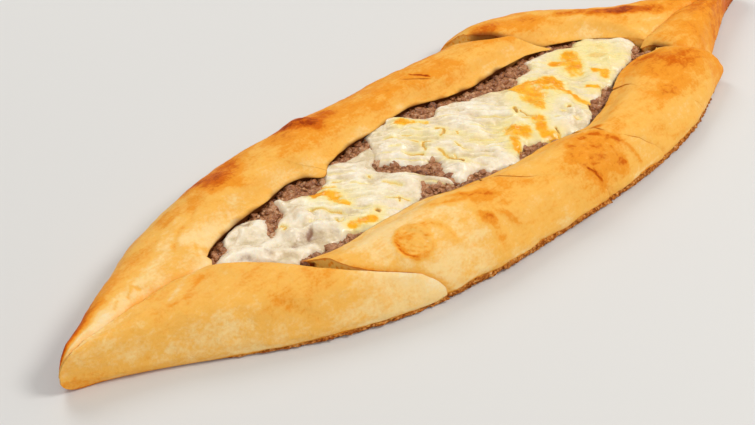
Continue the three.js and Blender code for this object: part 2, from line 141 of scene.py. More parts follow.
FAR_OUTLINE = [
    [-48.3, 32], [-42.7, 35], [-37.5, 36], [-28.8, 36], [-22.1, 30.2], [-17.8, 25.1], [-12.5, 22.4],
    [-6.8, 26.7], [1.9, 25.8], [6.8, 23.7], [8.9, 20.5], [11.6, 21.7], [22.8, 18.8], [32, 15.2],
    [38.1, 14.7], [42, 18.8], [53, 19.1], [56.7, 26.4], [65.8, 26.1], [74.3, 23.9], [81.2, 21.6],
    [85.5, 19.1], [90, 22.1], [98, 21.8], [106.7, 16.7], [114.4, 9.5], [116.5, 3.2], [113.3, -1.1],
    [98.9, -9], [83.2, -14], [72.6, -17], [65.9, -16.3], [59.4, -20.2], [49.4, -20.7],
    [43.8, -27.5], [36.3, -32], [26.9, -34], [19.6, -31], [9.2, -27.2], [2.6, -23.2], [-4.9, -24.9],
    [-10.9, -31], [-20.3, -28], [-26.2, -26], [-26.6, -21.6], [-30.3, -20.2], [-38.3, -22.9],
    [-41.9, -21.5], [-41.3, -16.1], [-41.7, -11.6], [-36.7, -6], [-37.4, -1.7], [-44.5, -1.9],
    [-50.4, 3.6], [-54.6, 9.6], [-58.7, 11.3], [-56, 18.3], [-51, 25],
]
# Strokes of orange cheese as [half width, strength, x, y, x, y and so on].
ORANGE_STROKES = [
    [1.7, 1, 32, 12, 40, 9, 46, 5.5, 50, 2.5, 51, -1], [3.6, 1, 34.5, 7, 36.5, 2, 31, -1],
    [2.1, 1, 31, -1, 27.5, -8], [2.2, 0.6, 43, 2, 46, -3.5],
    [1.3, 1, 48, -2, 49, -8.5, 48, -14, 49.5, -19, 50.5, -22], [2.9, 1, 75, 12.5, 72.5, 7, 67, 3],
    [1.7, 0.95, 65, 14, 70, 8], [1.4, 1, 74, -5, 78.5, -8.5, 74, -11.5],
    [1.5, 0.85, 60, -12.5, 63, -14.5], [1.9, 1, 20, -14, 15, -21, 13.3, -25, 15.5, -27.5],
    [2.6, 1, 3, -13.5, 7, -17], [1.6, 0.7, 0, -17, -5, -22.5],
    [1.2, 0.95, -32, 28, -30, 27, -25, 23.5], [0.7, 0.6, -25, 23.5, -20, 20],
    [1.9, 1, -94.5, 11.5, -89, 6.5], [1.2, 0.9, -93, 4.2, -88.5, -1],
    [1.1, 0.55, -89, 14, -85.5, 12], [1.6, 1, -96, -13.2, -92, -14.5, -87.5, -16.2],
]
# Strokes of yellow cheese and seams between strings of it, in the same way.
YELLOW_STROKES = [
    [0.8, 0.9, -29.6, 18.6, -28, 17.2], [0.55, 1, -36.5, 19, -33, 16],
    [0.55, 0.9, -44.5, 22.4, -40.5, 20, -38, 15.6, -34, 11],
    [0.9, 1.15, -20.6, 13, -18.5, 10, -20.8, 7.7, -24, 6.6], [0.8, 0.9, -15.6, 5, -16.4, 3],
    [0.8, 1.2, -31.6, 10, -30.3, 7.4], [0.8, 1.15, -31.6, 10, -34, 7.7, -36.7, 3.8],
    [0.6, 1.4, -45, 9, -42.8, 5.7, -39, 3], [0.9, 1, -31.4, 0.5, -32.2, -4.7, -33, -8],
    [0.9, 1.5, -33, -8, -31.7, -9.8, -30, -13.3], [0.55, 0.9, -31.6, -4, -30, -6.8, -30.2, -9.6],
    [0.6, 1.05, -22.4, -0.8, -23.7, -4, -24, -7.4, -21, -9.6],
    [0.6, 0.95, -18.4, -4, -16, -8, -13.5, -11.2, -9.6, -13.8], [0.5, 0.7, -15.6, -3.8, -7, -11.6],
    [0.5, 0.65, -10.5, 0.3, -3.6, -5.2, 4.6, -10.3], [0.45, 0.5, -8, 3.2, 6.4, -8.7],
    [0.7, 0.45, -47.7, 16.2, -44, 12.8], [1.3, 0.55, 75, 19.5, 79, 14.6, 84, 9, 89.5, 4.8],
    [1, 1.3, 19, -0.4, 16, -4.2], [0.6, 1.35, 18.2, -4.5, 18, -9, 20.8, -12.2],
    [1, 0.9, 15, -8.6, 18.8, -12.7], [0.8, 1.6, 39.5, -16.5, 39.9, -16.9],
    [0.5, 1.3, 33.5, -25.5, 34.4, -27], [0.45, 1.8, 20, -25, 17.8, -29.3],
    [0.9, 0.8, 35, -16.5, 35.6, -17.2], [0.9, 0.8, 27.5, -19, 28.2, -19.8],
    [0.6, 1.35, -73.5, -10.2, -71.8, -13, -69, -14, -66.8, -17],
    [0.6, 1.2, -69, -13.2, -71.4, -15.7], [1.3, 1.5, -82.8, -13.6, -82.4, -14.4],
    [0.6, 0.95, -103.2, 5.7, -100.2, 3, -97, -0.7, -94, -3.8],
    [0.55, 1.05, -99, -6.2, -100.4, -9.4], [0.5, 0.9, -96.7, -8.3, -100.4, -9.4],
    [0.75, 1.05, -118, 6.8, -117, 4.7, -118.8, 3.2], [0.5, 1.15, -83, 14.5, -80.4, 12.6],
    [0.5, 0.65, -78.7, 8, -73, 2], [0.6, 0.85, -67, -1, -62.4, -7.8],
    [0.6, 1.2, -68.8, 7, -68.4, 6.4], [0.5, 0.5, -108, 0, -104, -4], [0.5, 0.55, -89, -6, -83, -10],
    [0.45, 0.6, -97, 16, -91, 12], [0.6, 0.5, -80, 20, -72, 13], [0.6, 0.5, 60, 20, 66, 12],
    [0.9, 0.45, 88, 16, 98, 6], [0.7, 0.5, 95, -2, 102, -6], [0.5, 0.6, 55, -6, 58, -12],
]
# Soft yellow parts of the cheese as [x, y, half length, half width, turn, strength].
YELLOW_OVALS = [
    [88, 12, 20, 10, -45, 0.48], [66, 10, 14, 9, -40, 0.3], [42, 4, 18, 12, -40, 0.35],
    [12, -18, 16, 9, -40, 0.3], [-30, 14, 18, 8, -45, 0.25], [-10, -8, 18, 5, -45, 0.2],
    [-86, 6, 17, 7, -40, 0.28], [-72, -10, 10, 5, -40, 0.15], [86, 0, 14, 7, -45, 0.5],
    [87, 3, 7, 4, -45, 0.75],
]
# Places where the cheese is a thin film over the meat, in the same way.
THIN_OVALS = [
    [-113.5, -6.5, 4.4, 1.7, 48, 1], [-115, -8, 7, 5.5, 0, 0.52], [-122, -8, 2.6, 2.2, 0, 0.6],
    [-133.5, -4.7, 3, 2, 0, 0.45], [-142, -1.4, 4, 1.6, -43, 0.55],
    [-128.5, 16.6, 2.4, 1.6, 0, 0.6], [-136, 6, 5, 2.4, -43, 0.2], [-105, -12, 4, 2, 0, 0.3],
    [-35, -4, 4, 3, 0, 0.15], [-108, 13, 3, 2, 0, 0.25],
]
# Lumps of cheese as [x, y, radius, height].
LUMPS = [
    [-108, 20.5, 3.4, 1.2], [60, -18, 5, 1], [52, -22, 4, 0.9], [66, -14, 4, 0.8],
    [-137, -3, 7, 1.7], [-129, 14, 7, 1.6], [-96, 2, 12, 0.6], [-120, -3, 5, 1.4],
    [-124, -10, 5, 1.2], [-106, 9, 6, 1.2], [-104, -8, 6, 1.2], [-146, 5, 4.5, 1.2],
    [-131, 4, 4, -1.1], [-112, 3, 4, -0.9], [-113, -7, 5, -1.3], [-46, 12, 7, 0.8],
    [-30, -15, 9, 0.8], [95, 9, 10, 0.9], [80, 14, 7, 0.7], [30, -24, 9, 0.8], [5, 18, 9, 0.7],
    [-48, -16, 6, 0.8],
]

# Sizes of what the tables leave out.
PLAIN_TONE, RIND_DEPTH, LAST_RIND = 0.41, 0.9, 0.5
PRESSED_REACH, KNIFE_ROUNDING = 15, 1.0
CHEESE_BOTTOM, CHEESE_BED, CHEESE_UNDER_LIP, CHEESE_SKIRT = 11.2, 12.4, 2.2, 1.4
CHEESE_LEAST, CHEESE_BODY, CHEESE_SWELL, CHEESE_EDGE = 0.9, 2.9, 1.0, 3.2
STRINGS_TURN, STRING_PITCH = math.radians(-43.5), 4.9
MEAT_FROM, MEAT_TO, MEAT_GAP, MEAT_SINKS = -153.0, 112.0, 0.5, 0.9
CRUMB_SPACING, CRUMB_SHIFT, SMALLEST_CRUMB, CRUMB_SIZES, CRUMB_SEED = 1.6, 0.9, 1.2, 3.2, 41

# ---- Steps of the meshes, and how far they reach beyond what is kept of them ----

STATION_STEP, CHEESE_STEP, MEAT_STEP, MEAT_ROW = 1.0, 0.5, 0.8, 84
RIM_STEPS = [4, 9, 6, 6, 7, 8, 9, 9, 8, 6, 4, 6, 2]
NOSE_STATIONS = np.array([0.3, 0.6, 1.0, 1.5, 2.1, 2.8, 3.6, 4.5, 5.6])
LOAF_REACH, MEAT_REACH, SLAB_REACH, SLAB_END = 92, 50, 92, 430

# ---- Camera ----

CAMERA_AT = np.array([-324.6, -274.3, 296.8])
CAMERA_HEADING = (0.6805, 0.7328)
CAMERA_PITCH = math.radians(38.39)
CAMERA_SENSOR = 36
CAMERA_LENS = 1080 / 755 * CAMERA_SENSOR


# ---- Curves and noise ----

def smoothstep(low, high, value):
    t = np.clip((value - low) / (high - low), 0, 1)
    return t * t * (3 - 2 * t)


def fade(low, high, value):
    return 1 - smoothstep(low, high, value)


def window(value, low, low_end, high, high_end):
    """1 from low_end to high, and 0 below low and above high_end."""
    return smoothstep(low, low_end, value) * fade(high, high_end, value)


def bell(value, middle, width):
    """1 at the middle, falling to 0 on both sides."""
    return np.exp(-(((value - middle) / width) ** 2))


def hill(x, y, cx, cy, width_x, width_y):
    """1 at a place, falling to 0 all round."""
    return np.exp(-(((x - cx) / width_x) ** 2 + ((y - cy) / width_y) ** 2))


def mounds(x, y, rows):
    """The height of round mounds, from rows [x, y, radius, height]."""
    height = 0
    for cx, cy, radius, rise in rows:
        height += rise * np.exp(-2 * ((x - cx) ** 2 + (y - cy) ** 2) / radius ** 2)
    return height


def mix(a, b, t):
    return a + (b - a) * t


def through(points, x):
    """A smooth curve through points [x, y], read at each x."""
    px, py = np.array(points, float).T
    last = len(px) - 1
    k = np.arange(last + 1)
    before, after = np.maximum(k - 1, 0), np.minimum(k + 1, last)
    slope = (py[after] - py[before]) / (px[after] - px[before])
    at = np.clip(x, px[0], px[-1])
    i = np.clip(np.searchsorted(px[1:], at), 0, last - 1)
    width = px[i + 1] - px[i]
    t = (at - px[i]) / width
    rise = py[i] + (py[i + 1] - py[i]) * t * t * (3 - 2 * t)
    return rise + width * t * (1 - t) * ((1 - t) * slope[i] - t * slope[i + 1])


def noise(p, scale, seed):
    """Gradient noise of about -1 to 1 at points p (..., 3), with features of about scale."""
    q = np.asarray(p, float) / scale + seed * 17.31
    cell = np.floor(q).astype(np.int64)
    f = q - cell
    ease = f * f * f * (f * (f * 6 - 15) + 10)
    total = 0
    for corner in np.ndindex(2, 2, 2):
        cx, cy, cz = (cell[..., k] + corner[k] for k in range(3))
        h = (cx * 374761393 + cy * 668265263 + cz * 1440662683 + seed * 974634777) & 0xFFFFFFFF
        h = ((h ^ (h >> 13)) * 1274126177) & 0xFFFFFFFF
        h = h ^ (h >> 16)
        part = sum((((h >> 10 * k) & 1023) / 511.5 - 1) * (f[..., k] - corner[k]) for k in range(3))
        for k in range(3):
            part = part * (ease[..., k] if corner[k] else 1 - ease[..., k])
        total += part
    return total * 1.5


def noises(p, *rows):
    """A sum of noises, from rows (height, size, seed)."""
    return sum(height * noise(p, size, seed) for height, size, seed in rows)


def segment_distance(x, y, ax, ay, bx, by):
    ex, ey = bx - ax, by - ay
    t = np.clip(((x - ax) * ex + (y - ay) * ey) / (ex * ex + ey * ey), 0, 1)
    return np.hypot(x - ax - t * ex, y - ay - t * ey)


def line_distance(numbers, x, y):
    """How far a place is from a line through points given as x, y, x, y and so on."""
    points = list(zip(numbers[::2], numbers[1::2]))
    nearest = np.full(np.shape(x), 1e9)
    for start, end in zip(points, points[1:]):
        nearest = np.minimum(nearest, segment_distance(x, y, *start, *end))
    return nearest


def oval_distance(x, y, cx, cy, along, across, degrees):
    """How far out of an oval's middle a place is, 1 on the oval."""
    a = math.radians(degrees)
    u = ((x - cx) * math.cos(a) + (y - cy) * math.sin(a)) / along
    v = (-(x - cx) * math.sin(a) + (y - cy) * math.cos(a)) / across
    return np.hypot(u, v)


def with_ovals(values, x, y, ovals, edge):
    """The values, raised to each oval's strength inside it and less round its edge."""
    for cx, cy, along, across, degrees, strength in ovals:
        r = oval_distance(x, y, cx, cy, along, across, degrees)
        values = np.maximum(values, strength * fade(1 - edge, 1 + edge, r))
    return values


# ---- The boat's measures ----

def tipward(x):
    return x / np.where(x < 0, BLUNT_TIP_X, SLIM_TIP_X)


def nose_factor(x):
    inwards = np.clip(np.minimum(x - BLUNT_TIP_X, SLIM_TIP_X - x) / TIP_ROUNDING, 0, 1)
    return np.sqrt(1 - (1 - inwards) ** 2)


def outline_factor(x, side):
    u = 0.975 * tipward(x)
    slim = through(SLIM_LEFT_EDGE, x) / LEFT_HALF_WIDTH if side > 0 else (1 - u ** 2.6) ** 1.8
    blunt = (1 - u ** 3.6) ** 1.2 if side > 0 else (1 - u ** 3.4) ** 2.08
    return np.where(x > 0, slim, blunt)


def outer_distance(x, side):
    half = LEFT_HALF_WIDTH if side > 0 else RIGHT_HALF_WIDTH
    middle = SLIM_TIP_DRIFT * smoothstep(110, SLIM_TIP_X, x)
    return half * outline_factor(x, side) * nose_factor(x) + side * middle


def crease_y(x):
    blunt = through([[BLUNT_TIP_X, 1], [-195, 6], [-175, 7.5], [-158, 3.8]], x)
    slim = through([[119, -11.4], [135, -9], [165, -6], [SLIM_TIP_X, SLIM_TIP_DRIFT]], x)
    return np.where(x < 0, blunt, slim)


def is_open(x):
    return (x > LEFT_LIP[0][0]) & (x < LEFT_LIP[-1][0])


def lip_distance(x, side):
    lip = side * through(LEFT_LIP if side > 0 else RIGHT_LIP, x)
    crease = side * crease_y(x) * smoothstep(BLUNT_TIP_X, BLUNT_TIP_X + 14, x) + 0.4 * nose_factor(x)
    return np.where(is_open(x), lip, np.minimum(crease, 0.6 * outer_distance(x, side)))


def open_factor(x):
    width = np.where(is_open(x), lip_distance(x, 1) + lip_distance(x, -1), 0)
    return smoothstep(0, 26, width)


def crest_height(x, side):
    crest = TIP_HEIGHT + (RIM_HEIGHT - TIP_HEIGHT) * (1 - tipward(x) ** 3.5)
    return crest + side * 0.8 * np.sin(x / 31) + 0.6 * np.sin(x / 17 + side)


def crease_share(x):
    blunt = mix(0.1, 1, smoothstep(-222, -192, x))
    return np.where(x < 0, blunt, mix(SLIM_CREASE_SHARE, 1, open_factor(x)))


def lip_height(x, side):
    sink = 0.86 + 0.11 * (1 - smoothstep(-226, -200, x))
    pinched = crest_height(x, side) * sink - side * crease_share(x) * CREASE_STEP / 2
    return mix(pinched, LIP_HEIGHT, open_factor(x))


def floor_height(x):
    pinched = lip_height(x, 1) - crease_share(x) * CREASE_DEPTH
    return mix(pinched, FLOOR_HEIGHT, smoothstep(0, 0.35, open_factor(x)))


def wall_distance(x, side):
    return lip_distance(x, side) + LIP_UNDERCUT * open_factor(x)


def rim_profile(x, side):
    """One rim's [distance, height] points from its foot to the channel's floor, for each station x."""
    outer, lip, wall = outer_distance(x, side), lip_distance(x, side), wall_distance(x, side)
    rim, crest = outer - lip, crest_height(x, side)
    lip_z, floor = lip_height(x, side), floor_height(x)
    nose, dip = np.minimum(1, rim / 12), crease_share(x)
    zero = np.zeros_like(x)
    points = [
        (outer - 3.5 * nose, zero),
        (outer + 0.4 * nose, zero + 1),
        (outer + SIDE_BULGE * nose, 0.22 * crest),
        (outer + 0.3 * SIDE_BULGE * nose, 0.42 * crest),
        (outer - 0.1 * rim, 0.66 * crest),
        (outer - 0.26 * rim, 0.88 * crest),
        (outer - 0.5 * rim, crest),
        (outer - 0.73 * rim, 0.985 * crest),
        (lip + 0.1 * rim, lip_z + 1.6 * nose),
        (lip, lip_z - 0.5 * dip),
        (wall, lip_z - np.minimum(2.2, 0.6 * dip * CREASE_DEPTH + 2 * open_factor(x))),
        (wall, floor + 0.6 * dip),
        (wall - np.minimum(1, 0.3 * (wall_distance(x, 1) + wall_distance(x, -1))), floor),
    ]
    return catmull_rom(np.array(points).transpose(2, 0, 1))


def catmull_rom(control):
    """Each row of control points (stations, n, 2) as a smooth curve, RIM_STEPS points to a segment."""
    count = control.shape[1]
    out = []
    for k in range(count - 1):
        p0, p1 = control[:, max(k - 1, 0)], control[:, k]
        p2, p3 = control[:, k + 1], control[:, min(k + 2, count - 1)]
        v0, v1 = (p2 - p0) / 2, (p3 - p1) / 2
        steps = RIM_STEPS[k]
        for t in np.arange(steps) / steps:
            out.append((2 * p1 - 2 * p2 + v0 + v1) * t ** 3 + (-3 * p1 + 3 * p2 - 2 * v0 - v1) * t ** 2
                       + v0 * t + p1)
    out.append(control[:, -1])
    rows = np.stack(out, axis=1)
    rows[..., 1] = np.maximum(rows[..., 1], 0)
    return rows


def cut_x(cut, y, face):
    low, high, depth = cut["bow"]
    over = np.clip((y - low) / (high - low), 0, 1)
    x = cut["at"] - cut["lean"] * y - depth * np.sin(math.pi * over) ** 2 + face * KNIFE_GAP / 2
    for middle, width, spread, drift in cut["gapes"]:
        x = x + (drift + face * width / 2) * np.exp(-(((y - middle) / spread) ** 2))
    return x


def slice_of(x, y):
    """The number of the slice that a place of the loaf frame lies in."""
    number = np.zeros(np.shape(x), int)
    for cut in CUTS:
        number = number + (x > cut_x(cut, y, 0))
    return number


def slice_range(i, beyond=0):
    """Where slice i starts and ends along the loaf, with some more beyond its cuts."""
    low = CUTS[i - 1]["at"] - beyond if i > 0 else BLUNT_TIP_X
    high = CUTS[i]["at"] + beyond if i < LAST_SLICE else SLIM_TIP_X
    return low, high


def cuts_beside(i):
    """Each cut beside slice i, as its number and the side of it on which the slice lies."""
    return [(k, face) for k, face in ((i - 1, 1), (i, -1)) if 0 <= k <= LAST_CUT]


def past_cut(k, x, y, face=0):
    """How far a place is beyond cut k, or beyond one face of that cut."""
    return (x - cut_x(CUTS[k], y, face)) / math.hypot(1, CUTS[k]["lean"])


def slip(i, points, back=False):
    """Moves loaf points to where slice i lies, or back again."""
    dx, dy, degrees = SLIPS[i]
    middle = np.array([sum(slice_range(i)) / 2, 0, 0])
    c, s = math.cos(math.radians(degrees)), math.sin(math.radians(degrees))
    turn = np.array([[c, -s, 0], [s, c, 0], [0, 0, 1]])
    moved = middle + np.array([dx, dy, 0])
    if back:
        return (points - moved) @ turn + middle
    return (points - middle) @ turn.T + moved


def lie(i, points):
    """Moves loaf points to where slice i lies. Where two slices press shut, they share one surface."""
    x, y = points[..., 0], points[..., 1]
    here = slip(i, points)
    moved = here
    for k, face in cuts_beside(i):
        if SHARED_FROM[k]:
            inside = face * past_cut(k, x, y)
            shared = smoothstep(*SHARED_FROM[k], y) * fade(-PRESSED_REACH, PRESSED_REACH, inside)
            moved = moved + (slip(i - face, points) - here) * shared[..., None]
    return moved


def seen(k, y):
    """1 where cut k shows as a line at y and 0 where it is pressed shut."""
    shown = 0 * y
    for low, high in SEEN_CUTS[k]:
        shown = np.maximum(shown, window(y, low - 2.5, low + 1, high - 1, high + 2.5))
    return shown


# ---- Meshes ----

def new_object(name, data):
    """An object in the scene."""
    made = bpy.data.objects.new(name, data)
    bpy.context.scene.collection.objects.link(made)
    return made


def make_mesh(name, verts, quads, tris=np.zeros((0, 3), int)):
    """A mesh from points in loaf millimetres."""
    mesh = bpy.data.meshes.new(name)
    placed = (np.asarray(verts) + LOAF_SHIFT) * METRES
    quads, tris = np.asarray(quads, int).reshape(-1, 4), np.asarray(tris, int).reshape(-1, 3)
    loops = np.concatenate([quads.ravel(), tris.ravel()]).astype(np.int32)
    starts = np.concatenate([np.arange(len(quads)) * 4, len(quads) * 4 + np.arange(len(tris)) * 3])
    mesh.vertices.add(len(placed))
    mesh.vertices.foreach_set("co", placed.ravel().astype(np.float32))
    mesh.loops.add(len(loops))
    mesh.loops.foreach_set("vertex_index", loops)
    mesh.polygons.add(len(starts))
    mesh.polygons.foreach_set("loop_start", starts.astype(np.int32))
    mesh.update(calc_edges=True)
    return mesh


def read(items, name, width=1, kind=np.int32):
    """One value of each item of a mesh, or a row of width values."""
    values = np.empty(len(items) * width, kind)
    items.foreach_get(name, values)
    return values.reshape(-1, width) if width > 1 else values


def points_of(mesh):
    """A mesh's points in loaf millimetres."""
    return read(mesh.vertices, "co", 3, np.float32).astype(float) * MILLIMETRES - LOAF_SHIFT


def ring_quads(rings, size):
    r = np.arange(rings - 1)[:, None]
    k = np.arange(size)[None, :]
    a = r * size + k
    b = r * size + (k + 1) % size
    return np.stack([a, b, b + size, a + size], -1).reshape(-1, 4)


def skin(grid):
    """Points, quads and end fans of a closed skin over rings (rings, size, 3)."""
    rings, size = grid.shape[:2]
    points = grid.reshape(-1, 3)
    middles = np.array([grid[0].mean(0), grid[-1].mean(0)])
    k = np.arange(size)
    a, b = k, (k + 1) % size
    first = np.stack([np.full(size, len(points)), b, a], -1)
    base = (rings - 1) * size
    last = np.stack([np.full(size, len(points) + 1), base + a, base + b], -1)
    return np.concatenate([points, middles]), ring_quads(rings, size), np.concatenate([first, last])


def grid_normals(grid):
    along = np.gradient(grid, axis=0)
    around = np.roll(grid, -1, axis=1) - np.roll(grid, 1, axis=1)
    normal = np.cross(around, along)
    return normal / np.maximum(np.linalg.norm(normal, axis=-1, keepdims=True), 1e-9)


def loaf_stations(low, high):
    middle = np.arange(BLUNT_TIP_X + 7, SLIM_TIP_X - 7, STATION_STEP)
    every = np.concatenate([BLUNT_TIP_X + NOSE_STATIONS, middle, (SLIM_TIP_X - NOSE_STATIONS)[::-1]])
    return every[(every >= low) & (every <= high)]


def make_loaf_part(i):
    """The loaf round slice i before it is cut, where the slice lies, with its surface relief."""
    x = loaf_stations(*slice_range(i, LOAF_REACH))
    left = rim_profile(x, 1)
    right = rim_profile(x, -1) * np.array([-1, 1])
    ring = np.concatenate([left, right[:, ::-1]], axis=1)
    z = ring[..., 1]
    grid = np.empty(ring.shape[:2] + (3,))
    grid[..., 0], grid[..., 1] = x[:, None], ring[..., 0]
    risen = z + smoothstep(8, 16, z) * mounds(grid[..., 0], grid[..., 1], BLISTERS)
    heart = 0.42 * TIP_HEIGHT
    grid[..., 2] = heart + (risen - heart) * nose_factor(x)[:, None]

    # Relief: soft swells, small lumps and fine puckers, which fade towards the table and the channel.
    normal = grid_normals(grid)
    opened = open_factor(x)[:, None]
    left_lip, right_lip = lip_distance(x, 1)[:, None], lip_distance(x, -1)[:, None]
    side = np.where(grid[..., 1] > (left_lip - right_lip) / 2, 1, -1)
    beyond_lip = side * grid[..., 1] - np.where(side > 0, left_lip, right_lip)
    lifted = smoothstep(0.3, 5, z)
    shows = np.maximum(lifted * smoothstep(-1.5, 3, beyond_lip), lifted * (1 - opened))
    relief = noises(grid, (0.6, 32, 1), (0.45, 13, 2), (0.2, 5.2, 3), (0.07, 2.3, 4))
    ridges = 0.2 * noise(grid * [0.12, 1, 1], 2.4, 26) * smoothstep(14, 26, beyond_lip)
    grid = grid + normal * ((relief + ridges + surface_marks(grid)) * shows)[..., None]

    # The lips wave in and out. The left one leans in at one place, the right one rides up at another.
    near_lip = bell(beyond_lip, 0, 3.5) * smoothstep(5, 12, z) * opened
    wave = noises(grid * [1, 0.3, 0], (0.55, 11, 5), (0.3, 4.5, 6))
    grid[..., 1] += side * near_lip * wave
    leans_in = bell(beyond_lip, 0, 6) * smoothstep(9, 15, z) * (side > 0)
    grid[..., 1] -= leans_in * 4.6 * bell(grid[..., 0], -83.5, 5)
    rides_up = bell(beyond_lip, 0, 9) * smoothstep(9, 15, z) * (side < 0)
    grid[..., 2] += rides_up * 3.2 * bell(grid[..., 0], -146, 15)
    near_crease = bell(beyond_lip, 0, 5) * smoothstep(5, 12, z) * (1 - opened)
    grid[..., 1] += near_crease * noises(grid * [1, 0, 0], (0.9, 11, 24), (0.5, 4, 25))

    # The toasted foot is a crumbly ledge under the clean crust.
    top_of_ledge = ledge_height(grid)
    rough = noises(grid, (0.6, 4.5, 7), (0.9, 1.9, 8)) + 0.6 * noise(grid * [1, 1, 1.6], 1.1, 9)
    ledge = window(z, -0.1, 0.5, top_of_ledge - 0.3, top_of_ledge + 0.25)
    groove = bell(z - top_of_ledge, 0.5, 0.45) * smoothstep(0.8, 1.8, top_of_ledge)
    push = ledge * (0.8 + 0.9 * rough) * smoothstep(0.2, 1.6, top_of_ledge) - 0.5 * groove
    grid[..., 1] += np.sign(grid[..., 1]) * push * np.minimum(1, np.abs(grid[..., 1]) / 10)

    # The bread rounds down a little along each knife cut that shows.
    grid = lie(i, grid)
    for k, face in cuts_beside(i):
        y = grid[..., 1]
        inside = np.clip(face * past_cut(k, grid[..., 0], y, face), 0, 99)
        drop = 0.5 * seen(k, y) * bell(inside, 0, KNIFE_ROUNDING)
        grid = grid - normal * (drop * shows)[..., None]
        if k == LAST_CUT:
            depth, width = sunken_edge(face, y)
            grid[..., 2] -= depth * bell(inside, 0, width) * smoothstep(5, 14, grid[..., 2])
    return skin(grid)


def sunken_edge(face, y):
    """How deep the rim's edge sinks beside the last cut, and how far that reaches."""
    if face < 0:
        return 2.0 * window(y, 38, 46, 57, 63), 3.5
    right, left = fade(-2, 6, y), smoothstep(20, 34, y) * (1 - 0.5 * smoothstep(38, 46, y))
    return 3.2 * right + 3.0 * left, 2.6


def ledge_height(p):
    """How high the toasted, crumbly foot of the crust stands at loaf points p."""
    x = p[..., 0]
    height = 3.9 + noises(p * [1, 1, 0], (1.3, 26, 17), (1.1, 8, 18), (0.5, 3, 19))
    height = np.clip(height * (1 - 0.7 * smoothstep(85, 125, x)), 0.3, 5.6)
    return height * (0.12 + 0.4 * smoothstep(-200, -135, x) + 0.48 * smoothstep(-105, -70, x))


def ring_creases(p, r):
    """The creases that run round inside the ringed blister, r out from its middle."""
    return (1 - np.abs(np.sin(9.5 * r + 1.8 * noise(p, 4.5, 10)))) ** 2


def cracks(p, r, width, end):
    """The cracks of the cracked blister, which stop at end."""
    return bell(noise(p, 7, 16), 0, width) * fade(0.7, end, r)


def surface_marks(p):
    """The blisters, the puff, the folds and the scratches, as a height on the crust."""
    x, y = p[..., 0] + 1.2 * noise(p, 6, 12), p[..., 1] + 1.2 * noise(p, 6, 13)
    rough = noise(p, 3.2, 14)
    r = oval_distance(x, y, *RING_BLISTER)
    height = 0.75 * bell(r, 0.95, 0.17) * (0.7 + 0.6 * noise(p, 7, 15))
    height += (0.25 * rough - 0.35 - 0.4 * ring_creases(p, r)) * fade(0.65, 0.95, r)
    height += 0.4 * bell(line_distance(RING_SMEAR, x, y), 0, 1.6)
    r = oval_distance(x, y, *CRACKED_BLISTER)
    height += -0.4 * cracks(p, r, 0.1, 1.0) + 0.16 * rough * fade(0.6, 1.1, r)
    height += 1.1 * (1 - smoothstep(0.2, 1.1, oval_distance(x, y, *PUFF)))
    for half, rise, _, *line in FOLDS:
        height += rise * bell(line_distance(line, x, y), 0, half)
    return height


def make_slab(i):
    """The prism between the two cuts of slice i, its cut faces rough as torn crumb."""
    ys = np.arange(-SLAB_REACH, SLAB_REACH + 0.1, 1.4)
    zs = np.concatenate([[-8], np.arange(-1, 26.5, 1.25), [45]])
    ygrid, zgrid = np.meshgrid(ys, zs, indexing="ij")
    sheets = []
    for k, face in ((i - 1, 1), (i, -1)):
        if not 0 <= k <= LAST_CUT:
            sheets.append(np.stack([np.full_like(ygrid, -face * SLAB_END), ygrid, zgrid], -1))
            continue
        closer = mix(SHUT, AJAR[k], seen(k, ygrid))
        sheet = np.stack([cut_x(CUTS[k], ygrid, face) - face * closer, ygrid, zgrid], -1)
        apart = np.abs(cut_x(CUTS[k], ygrid, 1) - cut_x(CUTS[k], ygrid, -1))
        pores = np.clip(noise(sheet, 3.2, 11 + i) - 0.1, 0, 1) * 0.9
        torn = 0.25 * noise(sheet, 2.6, 21 + i) + pores
        sheet[..., 0] += face * smoothstep(0.8, 2.5, apart) * torn
        sheets.append(sheet)
    at = np.arange(ygrid.size).reshape(ygrid.shape)
    side = np.stack([at[:-1, :-1], at[:-1, 1:], at[1:, 1:], at[1:, :-1]], -1).reshape(-1, 4)
    quads = [side, side[:, ::-1] + at.size]
    for edge, flip in ((at[:, 0], False), (at[:, -1], True), (at[0], True), (at[-1], False)):
        strip = np.stack([edge[:-1], edge[1:], edge[1:] + at.size, edge[:-1] + at.size], -1)
        quads.append(strip[:, ::-1] if flip else strip)
    return np.concatenate([s.reshape(-1, 3) for s in sheets]), np.concatenate(quads)


def intersect(mesh, slab, name):
    """The part of a mesh inside a slab. The slab's faces keep material slot 1."""
    body, tool = new_object(name, mesh), new_object(name + "_slab", slab)
    modifier = body.modifiers.new("cut", "BOOLEAN")
    modifier.operation, modifier.object, modifier.solver = "INTERSECT", tool, "MANIFOLD"
    modifier.material_mode = "INDEX"
    depsgraph = bpy.context.evaluated_depsgraph_get()
    result = bpy.data.meshes.new_from_object(body.evaluated_get(depsgraph), depsgraph=depsgraph)
    result.name = name
    for each in (body, tool):
        bpy.data.objects.remove(each, do_unlink=True)
    return keep_largest(result)


def keep_largest(mesh):
    """Drops the loose scraps that a cut leaves."""
    a, b = read(mesh.edges, "vertices", 2).T
    label = np.arange(len(mesh.vertices))
    while True:
        low = np.minimum(label[a], label[b])
        new = label.copy()
        np.minimum.at(new, a, low)
        np.minimum.at(new, b, low)
        new = new[new]
        if np.array_equal(new, label):
            break
        label = new
    scraps = np.nonzero(label != np.bincount(label).argmax())[0]
    if len(scraps):
        bm = bmesh.new()
        bm.from_mesh(mesh)
        bm.verts.ensure_lookup_table()
        bmesh.ops.delete(bm, geom=[bm.verts[k] for k in scraps], context="VERTS")
        bm.to_mesh(mesh)
        bm.free()
    return mesh


